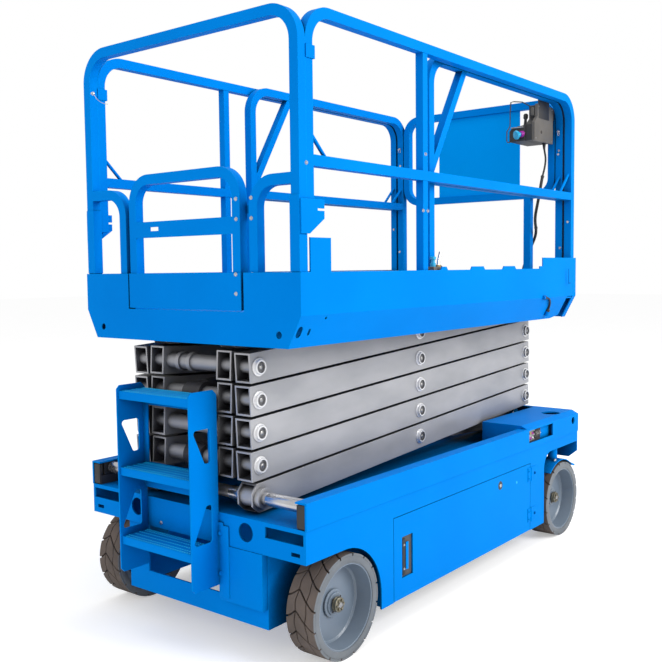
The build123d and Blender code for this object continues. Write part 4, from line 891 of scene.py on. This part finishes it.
# ------------------------------ platform fittings
CONTROL_CORD = 0.01
CONTROL_ROUTE = (
    (1.049, -0.45, 2.036), (1.05, -0.45, 2.008), (1.072, -0.45, 1.965), (1.06, -0.45, 1.915),
    (1.034, -0.448, 1.865), (1.02, -0.444, 1.805), (1.026, -0.428, 1.735), (1.052, -0.402, 1.675),
    (1.098, -0.378, 1.635), (1.148, -0.362, 1.597), (1.178, -0.342, 1.558), (1.186, -0.315, 1.51),
    (1.182, -0.298, 1.455), (1.166, -0.286, 1.415), (1.148, -0.283, 1.375), (1.146, -0.282, 1.32),
    (1.146, -0.282, 1.264),
)
SLEEVE_TOP = 1.874            # the cord's thick sleeve starts at this height
SLEEVE_WALL = 0.0026
TIES = (0.004, 0.42, 0.7)    # shares of the sleeve's length
BOOT = [(0, 0), (0, 0.012), (0.008, 0.0115), (0.01, 0.0085), (0.03, 0.0062), (0.034, 0.0054),
        (0.034, 0)]
TIE = [(-0.004, 0.0075), (-0.004, 0.009), (0.004, 0.009), (0.004, 0.0075)]
HOSE_NUT = [(0, 0), (0, 0.0105), (0.008, 0.01), (0.012, 0.007), (0.016, 0.0052), (0.016, 0)]
SKIRT_HOSE = 0.009
HOSE_ROUTE = (
    (0.784, -0.5805, 1.244), (0.822, -0.582, 1.243), (0.864, -0.574, 1.224), (0.893, -0.557, 1.196),
    (0.897, -0.545, 1.172),
)


def add_cord(name, body, node, route, diameter):
    """Smooth cord along its route; returns it with its length and the points along its line."""
    curve = bpy.data.curves.new(name, "CURVE")
    curve.dimensions = "3D"
    curve.resolution_u = 12
    spline = curve.splines.new("NURBS")
    spline.points.add(len(route) - 1)
    for point, place in zip(spline.points, route):
        point.co = (*place, 1)
    spline.order_u = 3
    spline.use_endpoint_u = True
    cord = bpy.data.objects.new(name, curve)
    bpy.context.scene.collection.objects.link(cord)
    bpy.context.view_layer.update()
    line = bpy.data.meshes.new_from_object(cord)
    path = [vert.co.copy() for vert in line.vertices]
    bpy.data.meshes.remove(line)
    length = sum((b - a).length for a, b in zip(path, path[1:]))
    curve.bevel_depth = diameter / 2
    curve.bevel_resolution = 4
    curve.use_fill_caps = True
    curve.materials.append(MAT["black_rubber"])
    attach(cord, body)
    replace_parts(cord, node)
    return cord, length, path


def add_control_cord():
    """Cord of the platform control box, with its strain relief, thick sleeve and three ties."""
    cord, length, path = add_cord("control_lead", "extension", "control_cord", CONTROL_ROUTE, CONTROL_CORD)
    boot = Piece("control_lead_boot")
    down = (path[1] - path[0]).normalized()
    boot.lathe(path[0] - down * 0.006, down, BOOT, "black_rubber", 24)
    relief = boot.place("extension", "tyre_rubber")
    covered = [point for point in path if point.z < SLEEVE_TOP]
    sleeve = Piece("control_lead_sleeve")
    sleeve.pipe(covered, CONTROL_CORD / 2 + SLEEVE_WALL, "black_rubber", 14)
    for share in TIES:
        k = max(int(share * len(covered)), 1)
        ahead = (covered[k + 1] - covered[k - 1]).normalized()
        sleeve.lathe(covered[k], ahead, TIE, "case_black", 20)
    wrap = sleeve.place("extension", "tyre_rubber")


def add_skirt_hose():
    """Short hose that dips through the skirt's front corner, with a fitting at each end."""
    cord, length, path = add_cord("skirt_lead", "platform", "skirt_hose", HOSE_ROUTE, SKIRT_HOSE)
    nuts = Piece("skirt_lead_nuts")
    for end, inner in ((path[0], path[1]), (path[-1], path[-2])):
        ahead = (inner - end).normalized()
        nuts.lathe(end - ahead * 0.002, ahead, HOSE_NUT, "case_black", 20)
    ends = nuts.place("platform", "dark_metal")


CASE_Y = (-0.477, -0.462, -0.424)       # outer face, seam of grey and black, joint with the console
CASE_BASE = CONTROL_ROUTE[0][2]
GREY_SIDE = ((0.88, CASE_BASE), (0.88, 2.128), (0.914, 2.158), (0.914, 2.222), (1.096, 2.222),
             (1.096, CASE_BASE))
BLACK_SIDE = ((0.888, CASE_BASE + 0.003), (0.888, 2.12), (0.926, 2.152), (0.926, 2.218), (1.092, 2.218),
              (1.092, CASE_BASE + 0.003))
CONSOLE_SIDE = ((-0.424, CASE_BASE + 0.002), (-0.336, CASE_BASE + 0.002), (-0.336, 2.09), (-0.352, 2.108),
                (-0.424, 2.118))
CASE_BLOCKS = (
    # low corner, high corner, material, bevel
    ((0.9135, -0.4595, 2.16), (0.92, -0.429, 2.214), "case_black", 0.002),
    ((0.91, -0.456, 2.168), (0.916, -0.44, 2.206), "case_grey", 0.003),
    ((0.874, -0.414, 2.104), (0.99, -0.346, 2.11), "deck_grey", 0.002),
    ((0.9, -0.4, 2.109), (0.94, -0.37, 2.118), "case_black", 0.003),
    ((1.094, -0.474, 2.16), (1.118, -0.43, 2.22), "case_black", 0.004),
)
CASE_SCREWS = ((0.895, CASE_BASE + 0.012), (1.084, CASE_BASE + 0.012), (1.084, 2.21), (0.927, 2.21))
LEVER = [(0, 0.02), (0.01, 0.018), (0.014, 0.009), (0.05, 0.007), (0.058, 0.012), (0.074, 0.012),
         (0.08, 0.008), (0.08, 0)]
KNOB_RING = [(-0.012, 0.017), (0.004, 0.017), (0.006, 0.014), (0.006, 0)]
KNOB = [(0, 0.011), (0.014, 0.011), (0.016, 0.021), (0.022, 0.0235), (0.028, 0.0215), (0.031, 0.014),
        (0.032, 0)]
GUARD_ROUTE = (
    (0.914, -0.44, 2.21), (0.898, -0.4, 2.236), (0.878, -0.362, 2.24), (0.866, -0.352, 2.236),
    (0.862, -0.35, 2.18), (0.861, -0.35, 2.116), (0.846, -0.349, 2.098), (0.831, -0.348, 2.086),
    (0.83, -0.348, 2.036), (0.836, -0.35, 2.03), (0.884, -0.36, 2.04),
)


def add_case_controls(piece):
    """Lever, small round mark, case screws and stop knob of the control box."""
    outward = (0, -1, 0)
    face = CASE_Y[0]
    piece.lathe((0.96, -0.385, 2.108), (0.12, 0, 1), LEVER, "case_black", 24)
    piece.lathe((0.957, face - 0.0002, 2.083), outward,
                [(-0.001, 0), (-0.001, 0.0092), (0.0006, 0.0088), (0.0006, 0)], "groove_rubber", 20)
    for x, z in CASE_SCREWS:
        piece.stud((x, face, z), outward, 0.0035, 0.003, 0.0012, "bare_steel", 12)
    knob = Vector((0.88, -0.402, 2.072))
    aim = Vector((-0.86, 0.46, -0.2)).normalized()
    piece.lathe(knob, aim, KNOB_RING, "magenta_plastic", 28)
    piece.lathe(knob + aim * 0.006, aim, KNOB, "knob_blue", 36)


def add_control_box():
    """Platform control box: stepped side case, console with stop knob, wire guard, hanger and lever."""
    low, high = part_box("control_box")
    outer, seam, joint = CASE_Y
    piece = Piece("control_case")
    black = "case_black"
    piece.prism(GREY_SIDE, outer, seam, "case_grey")
    piece.prism(BLACK_SIDE, seam, joint, black)
    piece.prism(CONSOLE_SIDE, 0.882, 1.09, black, "x")
    for corner, opposite, tone, bevel in CASE_BLOCKS:
        piece.block(corner, opposite, tone, bevel)
    add_case_controls(piece)
    for corner, opposite in (((0.924, outer - 0.001, 2.15), (1.048, outer + 0.004, high.z)),
                             ((0.924, low.y, high.z - 0.004), (1.048, outer + 0.004, high.z)),
                             ((0.924, low.y, high.z - 0.024), (1.048, low.y + 0.004, high.z))):
        piece.block(corner, opposite, black, 0.001)
    piece.pipe(GUARD_ROUTE, 0.0026, black, 8)
    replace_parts(piece.place("extension", "dark_case"), "control_box")


RAIL_BOLTS = (
    # x, y, z, facing
    (-1.031, -0.569, 1.75, -1), (-0.313, -0.569, 1.624, -1), (-0.276, -0.567, 1.624, -1),
    (-0.291, -0.567, 1.847, -1), (-1.031, 0.569, 1.75, 1), (-0.291, 0.567, 1.847, 1),
)
GATE_PIN = Vector((-1.0675, 0.505, 2.108))
LANYARD = ((0, 0, 0), (-0.002, -0.02, -0.022), (0.002, -0.042, -0.038), (0.006, -0.06, -0.046),
           (0.01, -0.075, -0.049))


def add_gate_bolts():
    """Bolts of the gate and of the platform leg beside it."""
    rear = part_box("gate")[0].x + 0.007
    leg, gate = Piece("leg_bolts"), Piece("gate_bolts")
    for z in (1.645, 1.575, 1.382, 1.314):
        leg.bolt((rear, -0.35, z), (-1, 0, 0), 0.0066)
        gate.bolt((rear - (0.007 if z < 1.395 else 0), -0.277, z), (-1, 0, 0), 0.0066)
    leg.place("platform", "bare_steel")
    gate.place("gate", "bare_steel")


def add_rail_pins():
    """Bolts and braces of the guard rails, and the gate's lock pin on its lanyard."""
    steel = "bright_steel"
    rail = Piece("rail_pins")
    for x, y, z, facing in RAIL_BOLTS:
        rail.bolt((x, y, z), (0, facing, 0), 0.0062)
    for side in (-1, 1):
        rail.bolt((1.123, side * 0.55, 1.63), (-1, 0, 0), 0.0062)
        rail.pipe([(1.135, side * 0.55, 1.884), (1.022, side * 0.55, 1.775)], 0.007, "blue_paint", 12)
    head = [(0, 0.008), (0.004, 0.008), (0.006, 0.005), (0.01, 0.005), (0.01, 0)]
    rail.lathe(GATE_PIN, (-1, 0, 0), head, steel, 16)
    rail.pipe([GATE_PIN + Vector(step) for step in LANYARD], 0.0012, steel, 6)
    rail.place("platform", "bare_steel")


def add_extension_pins():
    """Bolts, pin heads and pull rings on the extension's front posts."""
    steel = "bright_steel"
    back = (-1, 0, 0)
    turns = [pi * k / 8 for k in range(17)]
    disc = [(-0.001, 0.0065), (0.003, 0.006), (0.003, 0)]
    deck = Piece("extension_pins")
    for side in (-1, 1):
        post = side * 0.5
        deck.bolt((1.123, side * 0.508, 1.495), back, 0.0062)
        for x, z in ((1.131, 2.004), (1.122, 1.984)):
            deck.lathe((x - 0.0075, post, z), back, disc, steel, 14)
        deck.lathe((1.1225, post, 2.102), back, [(0, 0.006), (0.01, 0.006), (0.012, 0.004), (0.012, 0)],
                   steel, 14)
        ring = [(1.112 + 0.011 * cos(t), post + 0.003 * sin(t), 2.094 + 0.016 * sin(t)) for t in turns]
        deck.pipe(ring, 0.0013, steel, 6)
    deck.place("extension", "bare_steel")


def add_toe_details():
    """Dark blue strips that paint the shadow in a pressed slot near the skirt's right front corner, and the
    folded front corners.
    """
    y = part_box("platform_frame")[0].y
    blue = "blue_paint"
    right = Piece("toe_slot_shadows")
    # thin darker blue strips paint the shadow inside the pressed slot
    right.block((1.05, y - 0.0004, 1.314), (1.0555, y + 0.001, 1.385), "painted_shadow_blue", 0)
    right.block((1.05, y - 0.0004, 1.308), (1.076, y + 0.001, 1.314), "painted_shadow_blue", 0)
    right.place("platform", "blue_paint")
    (a, b), (c, d) = (0.575, 1.243), (0.516, 1.13)
    flange = [(a, b), (c, d), (c - 0.006, d), (a - 0.006, b)]
    plate = [(a, b), (c, d), (0.44, d), (0.42, b)]
    for side, name in SIDES:
        corner = Piece(f"front_fold_{name}")
        corner.prism([(side * p, q) for p, q in flange], 1.136, 1.17, blue, "x")
        corner.prism([(side * p, q) for p, q in plate], 1.168, 1.1745, blue, "x")
        corner.place("platform", "blue_paint")


OUTLET_PLUG = [(0, 0.012), (0.014, 0.012), (0.016, 0.009), (0.028, 0.009), (0.03, 0.013), (0.04, 0.013),
               (0.042, 0.009), (0.042, 0)]
COUPLING = [(0, 0.01), (0.026, 0.01), (0.028, 0.013), (0.04, 0.013), (0.042, 0)]
OUTLET_PIPES = (
    # points, radius, material, sides
    (((-0.142, -0.532, 1.406), (-0.136, -0.532, 1.43), (-0.122, -0.532, 1.462)), 0.0065, "bright_steel", 10),
    (((-0.158, -0.532, 1.398), (-0.128, -0.532, 1.396), (-0.112, -0.532, 1.404)), 0.003, "dark_metal", 8),
)


def add_deck_outlet():
    """Outlet box with its plug and pipe coupling behind the right toe board, by the middle post."""
    piece = Piece("deck_outlet")
    up = (0, 0, 1)
    piece.block((-0.21, -0.555, 1.3685), (-0.15, -0.515, 1.402), "case_grey", 0.003)
    piece.block((-0.216, -0.545, 1.24), (-0.13, -0.519, 1.369), "blue_paint", 0.003)
    piece.lathe((-0.186, -0.535, 1.402), up, OUTLET_PLUG, "knob_blue", 18)
    piece.lathe((-0.142, -0.532, 1.369), up, COUPLING, "brass", 18)
    for points, radius, tone, sides in OUTLET_PIPES:
        piece.pipe(points, radius, tone, sides)
    piece.place("platform", "dark_metal")


add_camera()
dress_cad_nodes()
add_control_cord()
add_skirt_hose()
add_control_box()
add_gate_bolts()
add_rail_pins()
add_extension_pins()
add_toe_details()
add_deck_outlet()
add_pin_ends()
add_pin_keepers()
add_slider_sleeves()
add_ram_fittings()
add_chassis_bolts()
add_rear_plates()
add_kingpins()
add_fenders()
add_rung_grip()
add_ground_controls()
add_door_fittings()
for sign, name in SIDES:
    for end in ("rear", "front"):
        add_tyre(end, sign, name)
        add_hub(end, sign, name)
add_stage()
